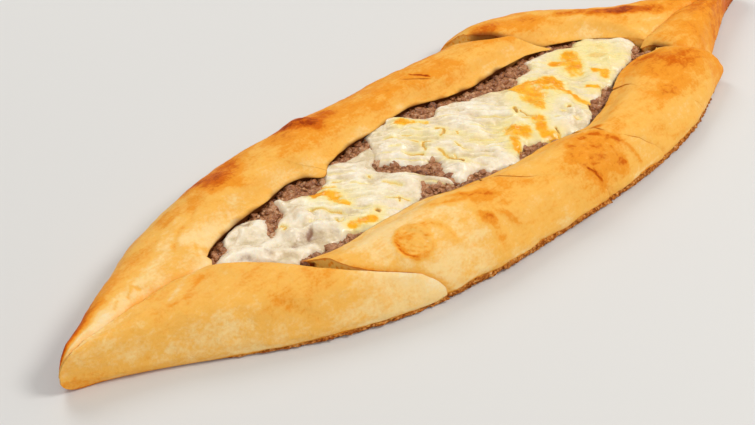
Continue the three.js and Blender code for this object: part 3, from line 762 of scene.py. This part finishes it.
def set_attribute(mesh, name, values):
    layer = mesh.attributes.new(name, "FLOAT", "POINT")
    layer.data.foreach_set("value", np.ascontiguousarray(values, np.float32))


def smooth_faces(mesh):
    mesh.polygons.foreach_set("use_smooth", np.ones(len(mesh.polygons), bool))


# ---- Materials ----

def linear(r, g, b):
    """Colour 0 to 255 as seen, as the shader's linear colour."""
    out = []
    for c in (r, g, b):
        c = c / 255
        out.append(c / 12.92 if c <= 0.04045 else ((c + 0.055) / 1.055) ** 2.4)
    return (*out, 1.0)


class Nodes:
    """A short way to lay out a material's nodes. Colours are given as seen, each part 0 to 255."""

    def __init__(self, name):
        self.material = bpy.data.materials.new(name)
        self.material.use_nodes = True
        self.tree = self.material.node_tree
        self.shader = self.tree.nodes["Principled BSDF"]
        self.coords = self.tree.nodes.new("ShaderNodeTexCoord").outputs["Object"]

    def node(self, kind, **inputs):
        """A new node with its inputs set, each to a value or to another node's output."""
        node = self.tree.nodes.new("ShaderNode" + kind)
        for name, value in inputs.items():
            self.put(node.inputs[name.replace("_", " ")], value)
        return node

    def put(self, socket, value):
        if isinstance(value, bpy.types.NodeSocket):
            self.tree.links.new(value, socket)
        else:
            socket.default_value = value

    def attribute(self, name):
        node = self.node("Attribute")
        node.attribute_name = name
        return node.outputs["Fac"]

    def place(self, size_mm, stretch=(1, 1, 1)):
        """Coordinates in which a pattern's features come out size_mm large."""
        scale = [1000 / size_mm * s for s in stretch]
        return self.node("Mapping", Vector=self.coords, Scale=scale).outputs[0]

    def noise(self, size_mm, detail=3.0, roughness=0.55, stretch=(1, 1, 1), distortion=0.0):
        node = self.node("TexNoise", Vector=self.place(size_mm, stretch), Scale=1.0, Detail=detail,
                         Roughness=roughness, Distortion=distortion)
        return node.outputs["Fac"]

    def cells(self, size_mm):
        node = self.node("TexVoronoi", Vector=self.place(size_mm), Scale=1.0)
        return node.outputs["Distance"]

    def math(self, operation, a, b=0.0, c=0.0):
        node = self.node("Math")
        node.operation = operation
        for socket, value in zip(node.inputs, (a, b, c)):
            self.put(socket, value)
        return node.outputs[0]

    def add(self, total, *values):
        for value in values:
            total = self.math("ADD", total, value)
        return total

    def remap(self, value, low, high, to_low=0.0, to_high=1.0):
        node = self.node("MapRange", Value=value, From_Min=low, From_Max=high, To_Min=to_low,
                         To_Max=to_high)
        node.interpolation_type = "SMOOTHSTEP"
        return node.outputs["Result"]

    def vary(self, noise, amount):
        """A noise spread out to run from -amount to amount."""
        return self.remap(noise, 0.3, 0.7, -amount, amount)

    def ramp(self, value, *stops):
        """A colour for a value, from stops (position, red, green, blue)."""
        node = self.node("ValToRGB", Fac=value)
        node.color_ramp.interpolation = "EASE"
        elements = node.color_ramp.elements
        while len(elements) < len(stops):
            elements.new(0.5)
        for element, (position, *colour) in zip(elements, stops):
            element.position, element.color = position, linear(*colour)
        return node.outputs["Color"]

    def blend(self, factor, a, b):
        node = self.node("Mix")
        node.data_type = "RGBA"
        self.put(node.inputs["Factor"], factor)
        self.put(node.inputs[6], a)
        self.put(node.inputs[7], linear(*b) if isinstance(b, tuple) else b)
        return node.outputs[2]

    def bump(self, height, distance_mm, strength):
        node = self.node("Bump", Strength=strength, Distance=distance_mm * METRES, Height=height)
        return node.outputs["Normal"]

    def set(self, **values):
        for key, value in values.items():
            self.put(self.shader.inputs[key.replace("_", " ")], value)
        return self.material


def crust_material():
    n = Nodes("crust_baked")
    tone = n.add(
        n.attribute("tone"),
        n.vary(n.noise(24, 3, distortion=0.5), 0.055),
        n.vary(n.noise(9, 3, 0.5, distortion=0.8), 0.045),
        n.vary(n.noise(3.4, 4, 0.6, stretch=(0.35, 1.2, 1), distortion=0.5), 0.042),
        n.vary(n.noise(1.3, 3, 0.6), 0.038))
    brown = n.attribute("brown")
    mottle = n.remap(n.noise(4.2, 4, 0.55, distortion=0.8), 0.33, 0.67, 0.72, 1.1)
    tone = n.math("MULTIPLY_ADD", brown, n.math("MULTIPLY", mottle, 0.46), tone)
    colour = n.ramp(tone, (0.0, 249, 226, 178), (0.2, 251, 213, 144), (0.42, 247, 185, 86),
                    (0.6, 240, 153, 42), (0.8, 212, 103, 2), (1.0, 160, 60, 0))
    toast = n.remap(n.add(n.attribute("toast"), n.vary(n.noise(2.4, 4, 0.7), 0.3)), 0.35, 0.7)
    toasted = n.ramp(n.noise(1.5, 4, 0.7), (0.3, 92, 38, 8), (0.44, 158, 82, 24),
                     (0.56, 212, 134, 58), (0.7, 250, 210, 144))
    colour = n.blend(toast, colour, toasted)
    # Painted shade: the channel's walls under the lips and the gap beside the last cut are drawn dark
    # brown.
    colour = n.blend(n.attribute("painted_shade"), colour, (104, 52, 20))
    pucker = n.noise(3.2, 4, 0.6, stretch=(0.6, 1, 1), distortion=0.6)
    height = n.math("MULTIPLY_ADD", pucker, 1.8, n.math("MULTIPLY", n.noise(0.9, 4, 0.65), 0.35))
    height = n.math("MULTIPLY_ADD", toast, n.math("MULTIPLY", n.noise(1.1, 4, 0.8), 3.0), height)
    height = n.math("MULTIPLY_ADD", brown, n.math("MULTIPLY", n.noise(1.8, 4, 0.7), 1.2), height)
    gloss = n.remap(n.noise(14, 4, 0.6), 0.35, 0.65, 0.42, 0.6)
    gloss = n.math("MULTIPLY_ADD", toast, 0.3, gloss)
    return n.set(Base_Color=colour, Roughness=gloss, Specular_IOR_Level=0.06,
                 Normal=n.bump(height, 0.36, 0.7), Subsurface_Weight=0.1,
                 Subsurface_Radius=(1.0, 0.4, 0.1), Subsurface_Scale=0.002)


def crumb_material():
    n = Nodes("crust_crumb")
    pores = n.remap(n.cells(2.2), 0.1, 0.55)
    colour = n.ramp(n.add(pores, n.vary(n.noise(5, 3), 0.2)), (0.0, 246, 164, 54),
                    (0.45, 255, 196, 84), (1.0, 255, 212, 116))
    colour = n.blend(n.remap(n.attribute("rind"), 0.3, 0.9), colour, (238, 150, 52))
    # Painted shade: cut faces in the shade of the channel's walls and in the gap beside the last cut
    # are drawn dark brown.
    colour = n.blend(n.attribute("painted_shade"), colour, (112, 48, 6))
    height = n.math("MULTIPLY_ADD", pores, 0.8, n.noise(0.9, 4, 0.7))
    return n.set(Base_Color=colour, Roughness=0.72, Specular_IOR_Level=0.08,
                 Normal=n.bump(height, 0.5, 0.7), Subsurface_Weight=0.15,
                 Subsurface_Radius=(1.0, 0.6, 0.3), Subsurface_Scale=0.002)


def meat_material():
    n = Nodes("meat_ground")
    patchy = n.remap(n.noise(1.5, 4, 0.65), 0.25, 0.75, 0, 0.55)
    # The crumb value holds each crumb's own tone, less the painted shade under the lips.
    mixed = n.add(n.math("MULTIPLY", n.attribute("crumb"), 0.5), patchy)
    colour = n.ramp(mixed, (0.0, 94, 44, 18), (0.3, 156, 94, 50), (0.55, 186, 124, 78),
                    (0.78, 204, 148, 102), (1.0, 232, 194, 156))
    height = n.math("MULTIPLY_ADD", n.noise(0.6, 4, 0.7), 0.6, n.noise(1.5, 3, 0.6))
    gloss = n.remap(n.noise(1.1, 3), 0.35, 0.65, 0.14, 0.4)
    return n.set(Base_Color=colour, Roughness=gloss, Specular_IOR_Level=0.65,
                 Normal=n.bump(height, 0.8, 0.9), Subsurface_Weight=0.1,
                 Subsurface_Radius=(1.0, 0.35, 0.2), Subsurface_Scale=0.0015)


def cheese_material():
    n = Nodes("cheese_melted")
    shade = n.add(n.noise(9, 4, 0.6), n.vary(n.noise(2.0, 3), 0.08),
                  # Painted light and shade: high parts of the relief lighter, low parts darker.
                  n.remap(n.attribute("high"), 0, 1, -0.15, 0.15))
    colour = n.ramp(shade, (0.25, 218, 198, 160), (0.5, 241, 225, 196), (0.72, 251, 240, 217))
    yellow = n.attribute("yellow")
    colour = n.blend(n.remap(yellow, 0.0, 0.55), colour, (247, 228, 160))
    colour = n.blend(n.remap(yellow, 0.5, 1.05), colour, (234, 184, 78))
    colour = n.blend(n.remap(yellow, 1.0, 1.6), colour, (160, 104, 26))
    streaks = n.vary(n.noise(2.6, 4, 0.6, stretch=(1, 0.6, 1), distortion=1.0), 0.22)
    orange = n.attribute("orange")
    orange = n.math("MULTIPLY_ADD", n.remap(orange, 0.02, 0.3), streaks, orange)
    colour = n.blend(n.remap(orange, 0.0, 0.5), colour, (250, 214, 112))
    amber = n.ramp(n.noise(5, 3), (0.35, 250, 162, 2), (0.65, 255, 187, 34))
    colour = n.blend(n.remap(orange, 0.28, 0.75), colour, amber)
    thin = n.add(n.attribute("thin"), n.vary(n.noise(2.2, 4, 0.6), 0.14))
    colour = n.blend(n.remap(thin, 0.12, 1.05), colour, (150, 110, 82))
    fleck = n.math("GREATER_THAN", n.noise(1.0, 2), 0.76)
    colour = n.blend(n.math("MULTIPLY", fleck, 0.5), colour, (150, 100, 44))
    fine = n.math("MULTIPLY", n.noise(0.8, 3, 0.6), 0.15)
    height = n.add(n.noise(2.6, 4, 0.6, distortion=0.8), fine)
    gloss = n.remap(n.noise(6, 4, 0.6), 0.35, 0.65, 0.14, 0.34)
    return n.set(Base_Color=colour, Roughness=gloss, Specular_IOR_Level=0.45,
                 Normal=n.bump(height, 0.55, 0.6), Subsurface_Weight=0.22,
                 Subsurface_Radius=(1.0, 0.75, 0.4), Subsurface_Scale=0.002)


# ---- Crust ----

crust_surface, crumb_surface = crust_material(), crumb_material()
meat_surface, cheese_surface = meat_material(), cheese_material()


def crust_masks(p, i):
    """The tone, brown, toast and painted shade of the crust at loaf points p of slice i."""
    x, y, z = p.T
    wobble = np.stack([noise(p, 9, 31), noise(p, 9, 32)], -1) * 3.0
    wobble = wobble + np.stack([noise(p, 3.5, 33), noise(p, 3.5, 34)], -1)
    wx, wy = x + wobble[:, 0], y + wobble[:, 1]
    flat = slip(i, p, back=True)
    fx, fy = flat[:, 0], flat[:, 1]
    middle = (through(LEFT_LIP, fx) + through(RIGHT_LIP, fx)) / 2
    left = fy > np.where(is_open(fx), middle, crease_y(fx))
    outer = np.where(left, outer_distance(fx, 1), outer_distance(fx, -1))
    lip = np.where(left, lip_distance(fx, 1), lip_distance(fx, -1))
    beyond_lip = np.where(left, fy, -fy) - lip
    across = np.clip(beyond_lip / np.maximum(outer - lip, 1), -0.3, 1.2)

    # A higher tone is a darker crust.
    tone = (0.05 * bell(across, 0.5, 0.25) * smoothstep(10, 18, z) + 0.03 * smoothstep(40, 120, x)
            - 0.08 * fade(-205, -180, x) + 0.2 * smoothstep(140, 185, x)
            + 0.1 * smoothstep(185, 215, x)
            # Painted shade: the blunt tip is darker low down.
            + 0.14 * fade(-205, -185, x) * fade(4, 11, z))
    left_tone = (-0.07 * bell(across, 0.08, 0.12) + 0.045 * smoothstep(-150, -60, x)
                 + 0.07 * smoothstep(0.55, 0.9, across) - 0.06 * bell(x, -152, 14)
                 # Painted shade: the left flank of the blunt tip is darker.
                 + 0.5 * fade(-214, -184, x) * smoothstep(0.1, 0.5, across))
    # Painted light: the right rims are paler from x -125 to -38.
    right_tone = (0.04 * bell(across, 0.08, 0.12) - 0.12 * window(x, -125, -100, -72, -38)
                  + 0.1 * smoothstep(112, 130, x) + 0.16 * bell(x, 92, 14) * smoothstep(-50, -42, y)
                  - 0.045 * (x < -110) * smoothstep(-205, -175, x) * fade(12, 19, z))
    tone = PLAIN_TONE + tone + np.where(left, left_tone, right_tone)
    tone += noises(p, (0.07, 40, 41), (0.036, 16, 42))
    for only, cx, cy, width_x, width_y, darker in PATCHES:
        if only in (None, i):
            tone += darker * (left == (cy > 0)) * hill(x, y, cx, cy, width_x, width_y)

    # The pinched seam of the blunt end keeps a pale, floury band on its left.
    band = bell(y, through(FLOURY_BAND, x), 4.5) * window(x, -222, -205, -162, -138)
    tone -= 0.22 * band * (0.8 + 0.4 * noise(p, 7, 43))
    seam = bell(fy, crease_y(fx), 0.9) * window(fx, -216, -200, -162, -156)
    tone += 0.16 * seam * (0.6 + 0.6 * noise(p, 5, 47))

    # The blisters are the brownest.
    brown = with_ovals(np.zeros(len(p)), wx, wy, BROWN_OVALS, 0.55)
    r = oval_distance(x + 0.5 * wobble[:, 0], y + 0.5 * wobble[:, 1], *RING_BLISTER)
    turned = np.clip(0.62 - 0.055 * (x - RING_BLISTER[0]), 0.15, 1)
    patchy = 0.9 + 0.5 * noise(p, 4, 45)
    ring = bell(r, 0.98, 0.16) * turned * (0.9 + 0.5 * noise(p, 6, 44))
    inner = (0.3 + 0.55 * ring_creases(p, r)) * fade(0.7, 1.1, r) * patchy
    smear = 0.6 * bell(line_distance(RING_SMEAR, wx, wy), 0, 2.4) * patchy
    brown = np.maximum(brown, np.clip(np.maximum(ring + inner, smear), 0, 1))
    r = oval_distance(wx, wy, *CRACKED_BLISTER)
    rim = bell(r, 0.82, 0.16) * smoothstep(-4, 10, x + 0.35 * (y + 50)) * (0.8 + 0.4 * noise(p, 6, 46))
    brown = np.maximum(brown, np.clip(0.48 * cracks(p, r, 0.12, 1.05) + 0.5 * rim, 0, 1))
    brown = np.clip(brown * smoothstep(6, 14, z), 0, 1.2)

    # The first slice's corner is paler along its cut as a painted highlight, and the second slice is
    # darker in a thin line beside that cut as a painted shadow of it. The last slice's corner is pale.
    past_first, past_last = past_cut(0, x, y), past_cut(LAST_CUT, x, y)
    if i == 0:
        tone -= 0.1 * fade(-44, -34, y) * bell(past_first, 0, 4)
    if i == 1:
        tone += 0.22 * fade(-40, -30, y) * bell(past_first, 0, 1.5)
    if i == LAST_SLICE:
        tone -= 0.25 * smoothstep(56, 62, y) * bell(past_last, 0, 6)
    for half, _, darker, *line in FOLDS:
        tone += darker * bell(line_distance(line, x, y), 0, 1.2 * half)

    # The foot is toasted up to its ledge. Just above the ledge a darker line is painted shade in its
    # groove, and higher up a pale line is a painted highlight.
    over_ledge = z - ledge_height(flat)
    toast = fade(-0.2, 0.9, over_ledge) * (1 - 0.75 * (x < -190))
    tone -= 0.12 * bell(over_ledge, 2.2, 0.9) * smoothstep(-0.1, 0.4, noise(p, 12, 48))
    tone += 0.3 * bell(over_ledge, 0.6, 0.5)

    # Painted shade darkens the channel's wall down to the meat under the lips, and the gap and the
    # slit beside the last cut.
    farther = smoothstep(30, 50, x)
    painted_shade = is_open(fx) & (beyond_lip < mix(2.8, 2.0, farther))
    painted_shade = painted_shade * (1 - smoothstep(15.0, 16.6, z + 1.1 * noise(p, 9, 49) + 0.8 * farther))
    if i == LAST_SLICE:
        gap = np.exp(-((past_last / 3.0) ** 4)) * window(y, 14, 22, 56, 60)
        slit = np.exp(-((past_last / 1.6) ** 4)) * window(y, -21, -18, -12, -8)
        painted_shade = np.maximum(painted_shade, 0.9 * np.maximum(gap, slit))
    return {"tone": tone, "brown": brown, "toast": toast, "painted_shade": painted_shade}


def skin_and_cut(mesh, loop_item, count):
    """Which edges or points of a mesh touch the baked skin, and which touch a cut face."""
    kind = np.repeat(read(mesh.polygons, "material_index"), read(mesh.polygons, "loop_total"))
    item = read(mesh.loops, loop_item)
    touches = np.zeros((2, count), bool)
    touches[kind, item] = True
    return touches


def sharpen_knife_edges(mesh):
    """Marks the edges between the skin and a cut face as sharp."""
    on_skin, on_cut = skin_and_cut(mesh, "edge_index", len(mesh.edges))
    layer = mesh.attributes.new("sharp_edge", "BOOLEAN", "EDGE")
    layer.data.foreach_set("value", on_skin & on_cut)


def distance_to_skin(mesh):
    """For each point, how far it is from the nearest point where a cut face meets the skin."""
    on_skin, on_cut = skin_and_cut(mesh, "vertex_index", len(mesh.vertices))
    p = points_of(mesh)
    both = np.nonzero(on_skin & on_cut)[0]
    distance = np.zeros(len(p))
    if len(both):
        tree = kdtree.KDTree(len(both))
        for k in both:
            tree.insert(p[k], int(k))
        tree.balance()
        for k in np.nonzero(on_cut & ~on_skin)[0]:
            distance[k] = tree.find(p[k])[2]
    return distance


def add_piece(name, mesh, surfaces, slot_name, *nodes):
    mesh.materials.clear()
    for surface in surfaces:
        mesh.materials.append(surface)
    piece = new_object(name, mesh)
    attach(piece, "root")
    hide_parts(*nodes)
    return piece


def make_crust(i):
    name = f"crust_slice_{i + 1}"
    loaf = make_mesh(name, *make_loaf_part(i))
    slab = make_mesh(name + "_slab", *make_slab(i))
    for mesh in (loaf, slab):
        mesh.materials.append(crust_surface)
        mesh.materials.append(crumb_surface)
    slab.polygons.foreach_set("material_index", np.ones(len(slab.polygons), np.int32))
    mesh = intersect(loaf, slab, name)
    for key, values in crust_masks(points_of(mesh), i).items():
        set_attribute(mesh, key, values)
    rind = np.exp(-distance_to_skin(mesh) / RIND_DEPTH)
    set_attribute(mesh, "rind", np.maximum(rind, LAST_RIND) if i == LAST_SLICE else rind)
    smooth_faces(mesh)
    sharpen_knife_edges(mesh)
    index = read(mesh.polygons, "material_index")
    piece = add_piece(name, mesh, [crust_surface, crumb_surface], "crust", name)
    piece.data.polygons.foreach_set("material_index", index)


for i in range(SLICES):
    make_crust(i)


# ---- Cheese ----

def on_plane(x, y):
    return np.stack([x, y, np.zeros_like(x)], -1)


def inside_outline(outline, x, y):
    """How far inside a closed outline a place is, below 0 outside."""
    corners = np.array(outline, float)
    nearest = np.full(np.shape(x), 1e9)
    odd = np.zeros(np.shape(x), bool)
    for (ax, ay), (bx, by) in zip(corners, np.roll(corners, -1, axis=0)):
        nearest = np.minimum(nearest, segment_distance(x, y, ax, ay, bx, by))
        crosses = (ay > y) != (by > y)
        odd = odd ^ (crosses & (x < ax + (bx - ax) * (y - ay) / ((by - ay) or 1e-9)))
    return np.where(odd, nearest, -nearest)


def room_in_channel(x, y):
    """How far a place is from the channel's nearer wall, where its slice lies."""
    number = slice_of(x, y)
    room = np.zeros_like(x)
    for i in range(SLICES):
        back = slip(i, on_plane(x, y), back=True)
        bx, by = back[..., 0], back[..., 1]
        here = np.minimum(wall_distance(bx, 1) - by, by + wall_distance(bx, -1))
        room = np.where(number == i, here, room)
    return room


def cheese_inside(x, y, outline):
    """How far inside one sheet of cheese a place is."""
    ragged = noises(on_plane(x, y), (0.5, 5, 51), (0.4, 2.6, 52), (0.15, 1.3, 53))
    inside = inside_outline(outline, x, y) + ragged + 0.3
    return np.minimum(inside, room_in_channel(x, y) + CHEESE_UNDER_LIP)


def cheese_fields(x, y, inside):
    """The height of the cheese's top at each place, and the values that colour it."""
    p = on_plane(x, y)

    # Strings run the way of the knife. Their coordinates are along and across the cuts.
    c, s = math.cos(STRINGS_TURN), math.sin(STRINGS_TURN)
    along, across = x * c + y * s, -x * s + y * c
    strung = on_plane(along / 3.2, across)
    phase = (across + noises(strung, (3.6, 11, 61), (1.8, 4.5, 71))) / STRING_PITCH
    valley = np.abs(np.sin(math.pi * phase))
    thread = noise(strung + 40, 1.8, 63)
    stringy = window(x, -62, -44, 8, 24) * smoothstep(-30, -14, y) + 0.6 * smoothstep(30, 48, x)
    stringy = np.clip(stringy + 0.55 * window(x, -108, -94, -72, -58) + 0.08, 0, 1)
    broken = smoothstep(-0.25, 0.35, noise(strung * [1.6, 1, 1], 9, 72))
    groove = bell(valley, 0, 0.17) * broken * stringy

    # Strokes of yellow and orange lie where the strings sank or melted.
    wx, wy = x + 0.5 * noise(p, 3, 69), y + 0.5 * noise(p, 3, 70)
    seams, yellow = np.zeros_like(x), 0.92 * groove
    for half, strength, *line in YELLOW_STROKES:
        d = line_distance(line, wx, wy) / half
        seams = np.maximum(seams, strength * bell(d, 0, 1))
        yellow = np.maximum(yellow, strength * fade(0.3, 1.5, d))
        yellow = np.maximum(yellow, 0.35 * strength * bell(d, 0, 3.2))
    wx, wy = x + 1.2 * noise(p, 5, 74), y + 1.2 * noise(p, 5, 75)
    orange = np.zeros_like(x)
    for half, strength, *line in ORANGE_STROKES:
        d = line_distance(line, wx, wy) / half
        orange = np.maximum(orange, strength * fade(0.5, 2.35, d))
        yellow = np.maximum(yellow, 0.6 * strength * bell(d, 0, 3.7))
    orange = orange * (0.85 + 0.45 * noise(strung * [0.8, 1, 1] + 9, 2.6, 76))
    yellow = with_ovals(yellow, wx, wy, YELLOW_OVALS, 0.8)
    yellow += 0.28 * np.clip(noise(p, 10, 68), 0, 1) * smoothstep(-70, 0, x)
    yellow += 0.16 * np.clip(thread, 0, 1) * stringy
    thin = 0.3 * np.clip(noise(p, 11, 77) + 0.1, 0, 1) * fade(-112, -96, x)
    thin = with_ovals(thin, wx, wy, THIN_OVALS, 0.7)

    # Lumps and strings stand on a sheet that swells away from its rounded edge.
    lumps = noises(p, (1.9, 14, 64), (0.95, 14 / 2.1, 65), (0.6, 4.6, 66), (0.06, 1.3, 67))
    lumps += 0.5 * np.abs(noise(p, 7, 65)) + mounds(x, y, LUMPS)
    strings = (1.0 * valley - 0.5 + 0.6 * thread) * stringy - 0.5 * groove - 0.8 * seams
    curds = hill(x, y, 37, -24, 8, 6) * (3.4 * np.abs(noise(p, 4.2, 78)) - 0.4)
    domes = fade(-100, -80, x) * (3.6 * np.abs(noise(p, 9.5, 79)) - 0.8)
    relief = lumps + strings + curds + domes
    swell = smoothstep(0, 9, inside)
    rounded = np.sqrt(1 - (1 - np.clip(inside / CHEESE_EDGE, 0, 1)) ** 2)
    body = CHEESE_BODY + CHEESE_SWELL * swell + relief * (0.5 + 0.5 * swell)
    body = np.maximum(body, CHEESE_LEAST)
    top = CHEESE_BED + np.where(inside < 0, 1.6 * inside, body * rounded)
    top = np.maximum(top - 0.9 * thin * rounded, CHEESE_BOTTOM + 0.05)
    thin = np.maximum(thin, 0.3 * np.clip(1 - inside / 1.4, 0, 1) ** 2)
    # Painted light and shade: the high parts of the relief are drawn lighter and the low parts darker.
    high = smoothstep(-1.6, 2.0, relief)
    return top, {"yellow": yellow, "orange": orange, "thin": thin, "high": high}


def closed_sheet(x, y, top, used):
    """Points and faces of a sheet over the used places of a grid, with walls and a flat underside."""
    cell = used[:-1, :-1] | used[1:, :-1] | used[:-1, 1:] | used[1:, 1:]
    at = np.arange(x.size).reshape(x.shape)
    quads = np.stack([at[:-1, :-1], at[1:, :-1], at[1:, 1:], at[:-1, 1:]], -1)[cell]
    kept, quads = np.unique(quads, return_inverse=True)
    quads, count = quads.reshape(-1, 4), len(kept)
    upper = np.stack([x.ravel()[kept], y.ravel()[kept], top.ravel()[kept]], -1)
    lower = upper.copy()
    lower[:, 2] = CHEESE_BOTTOM
    edges = np.concatenate([quads[:, [k, (k + 1) % 4]] for k in range(4)])
    a, b = edges[~np.isin(edges @ [count, 1], edges @ [1, count])].T
    walls = np.stack([b, a, a + count, b + count], -1)
    return np.concatenate([upper, lower]), np.concatenate([quads, quads[:, ::-1] + count, walls]), kept


def make_cheese(name, outline, low, high):
    xs, ys = np.arange(low, high, CHEESE_STEP), np.arange(-38, 38, CHEESE_STEP)
    x, y = np.meshgrid(xs, ys, indexing="ij")
    inside = cheese_inside(x, y, outline)
    top, looks = cheese_fields(x, y, inside)
    points, faces, kept = closed_sheet(x, y, top, inside > -CHEESE_SKIRT)
    mesh = make_mesh(name, points, faces)
    for key, values in looks.items():
        set_attribute(mesh, key, np.tile(values.ravel()[kept], 2))
    smooth_faces(mesh)
    add_piece(name, mesh, [cheese_surface], "cheese", name)


make_cheese("cheese_near", NEAR_OUTLINE, -156, -38)
make_cheese("cheese_far", FAR_OUTLINE, -62, 119)


# ---- Meat ----

def make_meat_core(i):
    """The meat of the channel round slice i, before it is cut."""
    low, high = slice_range(i, MEAT_REACH)
    x = np.arange(max(MEAT_FROM, low), min(MEAT_TO, high), MEAT_STEP)
    right, left = MEAT_GAP - wall_distance(x, -1), wall_distance(x, 1) - MEAT_GAP
    steps = np.linspace(0, 1, MEAT_ROW)
    across = right[:, None] + (left - right)[:, None] * steps
    top = np.empty(across.shape + (3,))
    top[..., 0], top[..., 1], top[..., 2] = x[:, None], across, MEAT_HEIGHT - MEAT_SINKS
    edge = 1 - np.abs(2 * steps - 1)
    top[..., 2] += noises(top, (0.9, 3.6, 81), (0.5, 1.9, 82)) - 1.6 * fade(0, 0.05, edge)
    floor = floor_height(x) + 0.5
    bed = np.stack([np.stack([x, right + 1.2, floor], -1), np.stack([x, left - 1.2, floor], -1)], 1)
    return skin(lie(i, np.concatenate([bed, top[:, ::-1]], axis=1)))


def icosphere(levels):
    bm = bmesh.new()
    bmesh.ops.create_icosphere(bm, subdivisions=levels, radius=1)
    points = np.array([v.co[:] for v in bm.verts])
    faces = np.array([[v.index for v in f.verts] for f in bm.faces])
    bm.free()
    return points, faces


BALL, BALL_FACES = icosphere(2)


def crumb_cloud(centres, sizes, rng):
    """Rough crumbs of meat at the centres, as points, triangles and a shade for each crumb."""
    count = len(centres)
    stretch = rng.uniform([1.0, 0.8, 0.6], [1.6, 1.15, 0.9], (count, 3))
    placed = BALL[None] + rng.uniform(1, 900, (count, 1, 3))
    lump = BALL[None] * (1 + noises(placed, (0.42, 0.9, 91), (0.2, 0.45, 92)))[..., None]
    lump = lump * (stretch * sizes[:, None] / 2)[:, None]
    turn, tilt = rng.uniform(0, 2 * math.pi, (count, 1)), rng.normal(0, 0.5, (count, 1))
    x, y, z = lump[..., 0], lump[..., 1], lump[..., 2]
    y, z = y * np.cos(tilt) - z * np.sin(tilt), y * np.sin(tilt) + z * np.cos(tilt)
    x, y = x * np.cos(turn) - y * np.sin(turn), x * np.sin(turn) + y * np.cos(turn)
    points = np.stack([x, y, z], -1) + centres[:, None]
    faces = BALL_FACES[None] + (np.arange(count) * len(BALL))[:, None, None]
    shades = np.repeat(rng.random(count), len(BALL))
    return points.reshape(-1, 3), faces.reshape(-1, 3), shades


def scatter_crumbs(rng):
    """Crumbs where the meat is bare or nearly so."""
    xs, ys = np.arange(MEAT_FROM, MEAT_TO + 1, CRUMB_SPACING), np.arange(-36, 36, CRUMB_SPACING)
    x, y = (each.ravel() for each in np.meshgrid(xs, ys, indexing="ij"))
    shift_x, shift_y = (rng.uniform(-CRUMB_SHIFT, CRUMB_SHIFT, x.size) for _ in "xy")
    x, y = x + shift_x, y + shift_y
    room = room_in_channel(x, y)
    z = MEAT_HEIGHT - 1.0 + rng.uniform(-0.8, 0.8, x.size) - 1.3 * fade(0.2, 1.8, room)
    sizes = SMALLEST_CRUMB + CRUMB_SIZES * rng.random(x.size) ** 3
    covered = np.maximum(cheese_inside(x, y, NEAR_OUTLINE), cheese_inside(x, y, FAR_OUTLINE))
    kept = (room > 0.6) & (covered < 1.0) & (x > MEAT_FROM) & (x < MEAT_TO)
    return np.stack([x, y, z], -1)[kept], sizes[kept]


rng = np.random.default_rng(CRUMB_SEED)
crumb_centres, crumb_sizes = scatter_crumbs(rng)
crumb_slices = slice_of(crumb_centres[:, 0], crumb_centres[:, 1])


def shade_under_lip(p):
    """Painted shade: how much darker the meat is drawn under the lips."""
    return 0.6 * (1 - smoothstep(0.8, 4.5, room_in_channel(p[:, 0], p[:, 1])))


def join_crumbs(core, mine):
    """Adds the crumbs of one slice to the mesh of its core."""
    cloud, faces, shades = crumb_cloud(crumb_centres[mine], crumb_sizes[mine], rng)
    extra = make_mesh(core.name + "_crumbs", cloud, [], faces)
    # Painted shade darkens the crumbs under the lips.
    set_attribute(extra, "crumb", shades - shade_under_lip(cloud))
    bm = bmesh.new()
    bm.from_mesh(core)
    bm.from_mesh(extra)
    bm.to_mesh(core)
    bm.free()
    bpy.data.meshes.remove(extra)


def make_meat(i):
    name = f"meat_slice_{i + 1}"
    whole, slab = make_mesh(name, *make_meat_core(i)), make_mesh(name + "_slab", *make_slab(i))
    core = intersect(whole, slab, name)
    base = points_of(core)
    # Painted shade darkens the meat under the lips.
    set_attribute(core, "crumb", 0.5 + 0.4 * noise(base, 3.0, 95) - shade_under_lip(base))
    mine = crumb_slices == i
    if mine.any():
        join_crumbs(core, mine)
    smooth_faces(core)
    add_piece(name, core, [meat_surface], "meat", name)


for i in range(SLICES):
    make_meat(i)


# ---- Floor, light and camera ----

def add_floor(half):
    mesh = bpy.data.meshes.new("floor")
    corners = [(-half, -half, 0), (half, -half, 0), (half, half, 0), (-half, half, 0)]
    mesh.from_pydata(corners, [], [(0, 1, 2, 3)])
    mesh.materials.append(Nodes("floor_plain").set(Base_Color=(0.72, 0.71, 0.69, 1), Roughness=0.8))
    new_object("floor", mesh)


def add_light(name, at, size, watts, colour=(1, 1, 1)):
    light = bpy.data.lights.new(name, "AREA")
    light.shape, light.size, light.energy, light.color = "DISK", size, watts, colour
    lamp = new_object(name, light)
    lamp.location = at
    lamp.rotation_euler = (-Vector(at)).to_track_quat("-Z", "Y").to_euler()


def add_camera():
    data = bpy.data.cameras.new("camera")
    data.lens, data.sensor_width = CAMERA_LENS, CAMERA_SENSOR
    data.clip_start, data.clip_end = 0.01, 50
    camera = new_object("camera", data)
    camera.location = (CAMERA_AT + LOAF_SHIFT) * METRES
    flat = math.cos(CAMERA_PITCH)
    aim = Vector((CAMERA_HEADING[0] * flat, CAMERA_HEADING[1] * flat, -math.sin(CAMERA_PITCH)))
    camera.rotation_euler = aim.to_track_quat("-Z", "Y").to_euler()
    bpy.context.scene.camera = camera


add_floor(6.0)
add_light("key", (0.6, -0.75, 1.05), 0.5, 10.4, (1.0, 0.98, 0.95))
add_light("fill", (-1.0, -0.6, 0.9), 1.0, 3.0, (1.0, 0.99, 0.97))
add_light("back", (0.1, 0.95, 1.0), 0.7, 6.2)
world = bpy.data.worlds.new("studio")
world.use_nodes = True
sky = world.node_tree.nodes["Background"].inputs
sky["Color"].default_value, sky["Strength"].default_value = (1.0, 0.99, 0.97, 1), 0.4
bpy.context.scene.world = world
bpy.context.scene.view_settings.view_transform = "Standard"
add_camera()
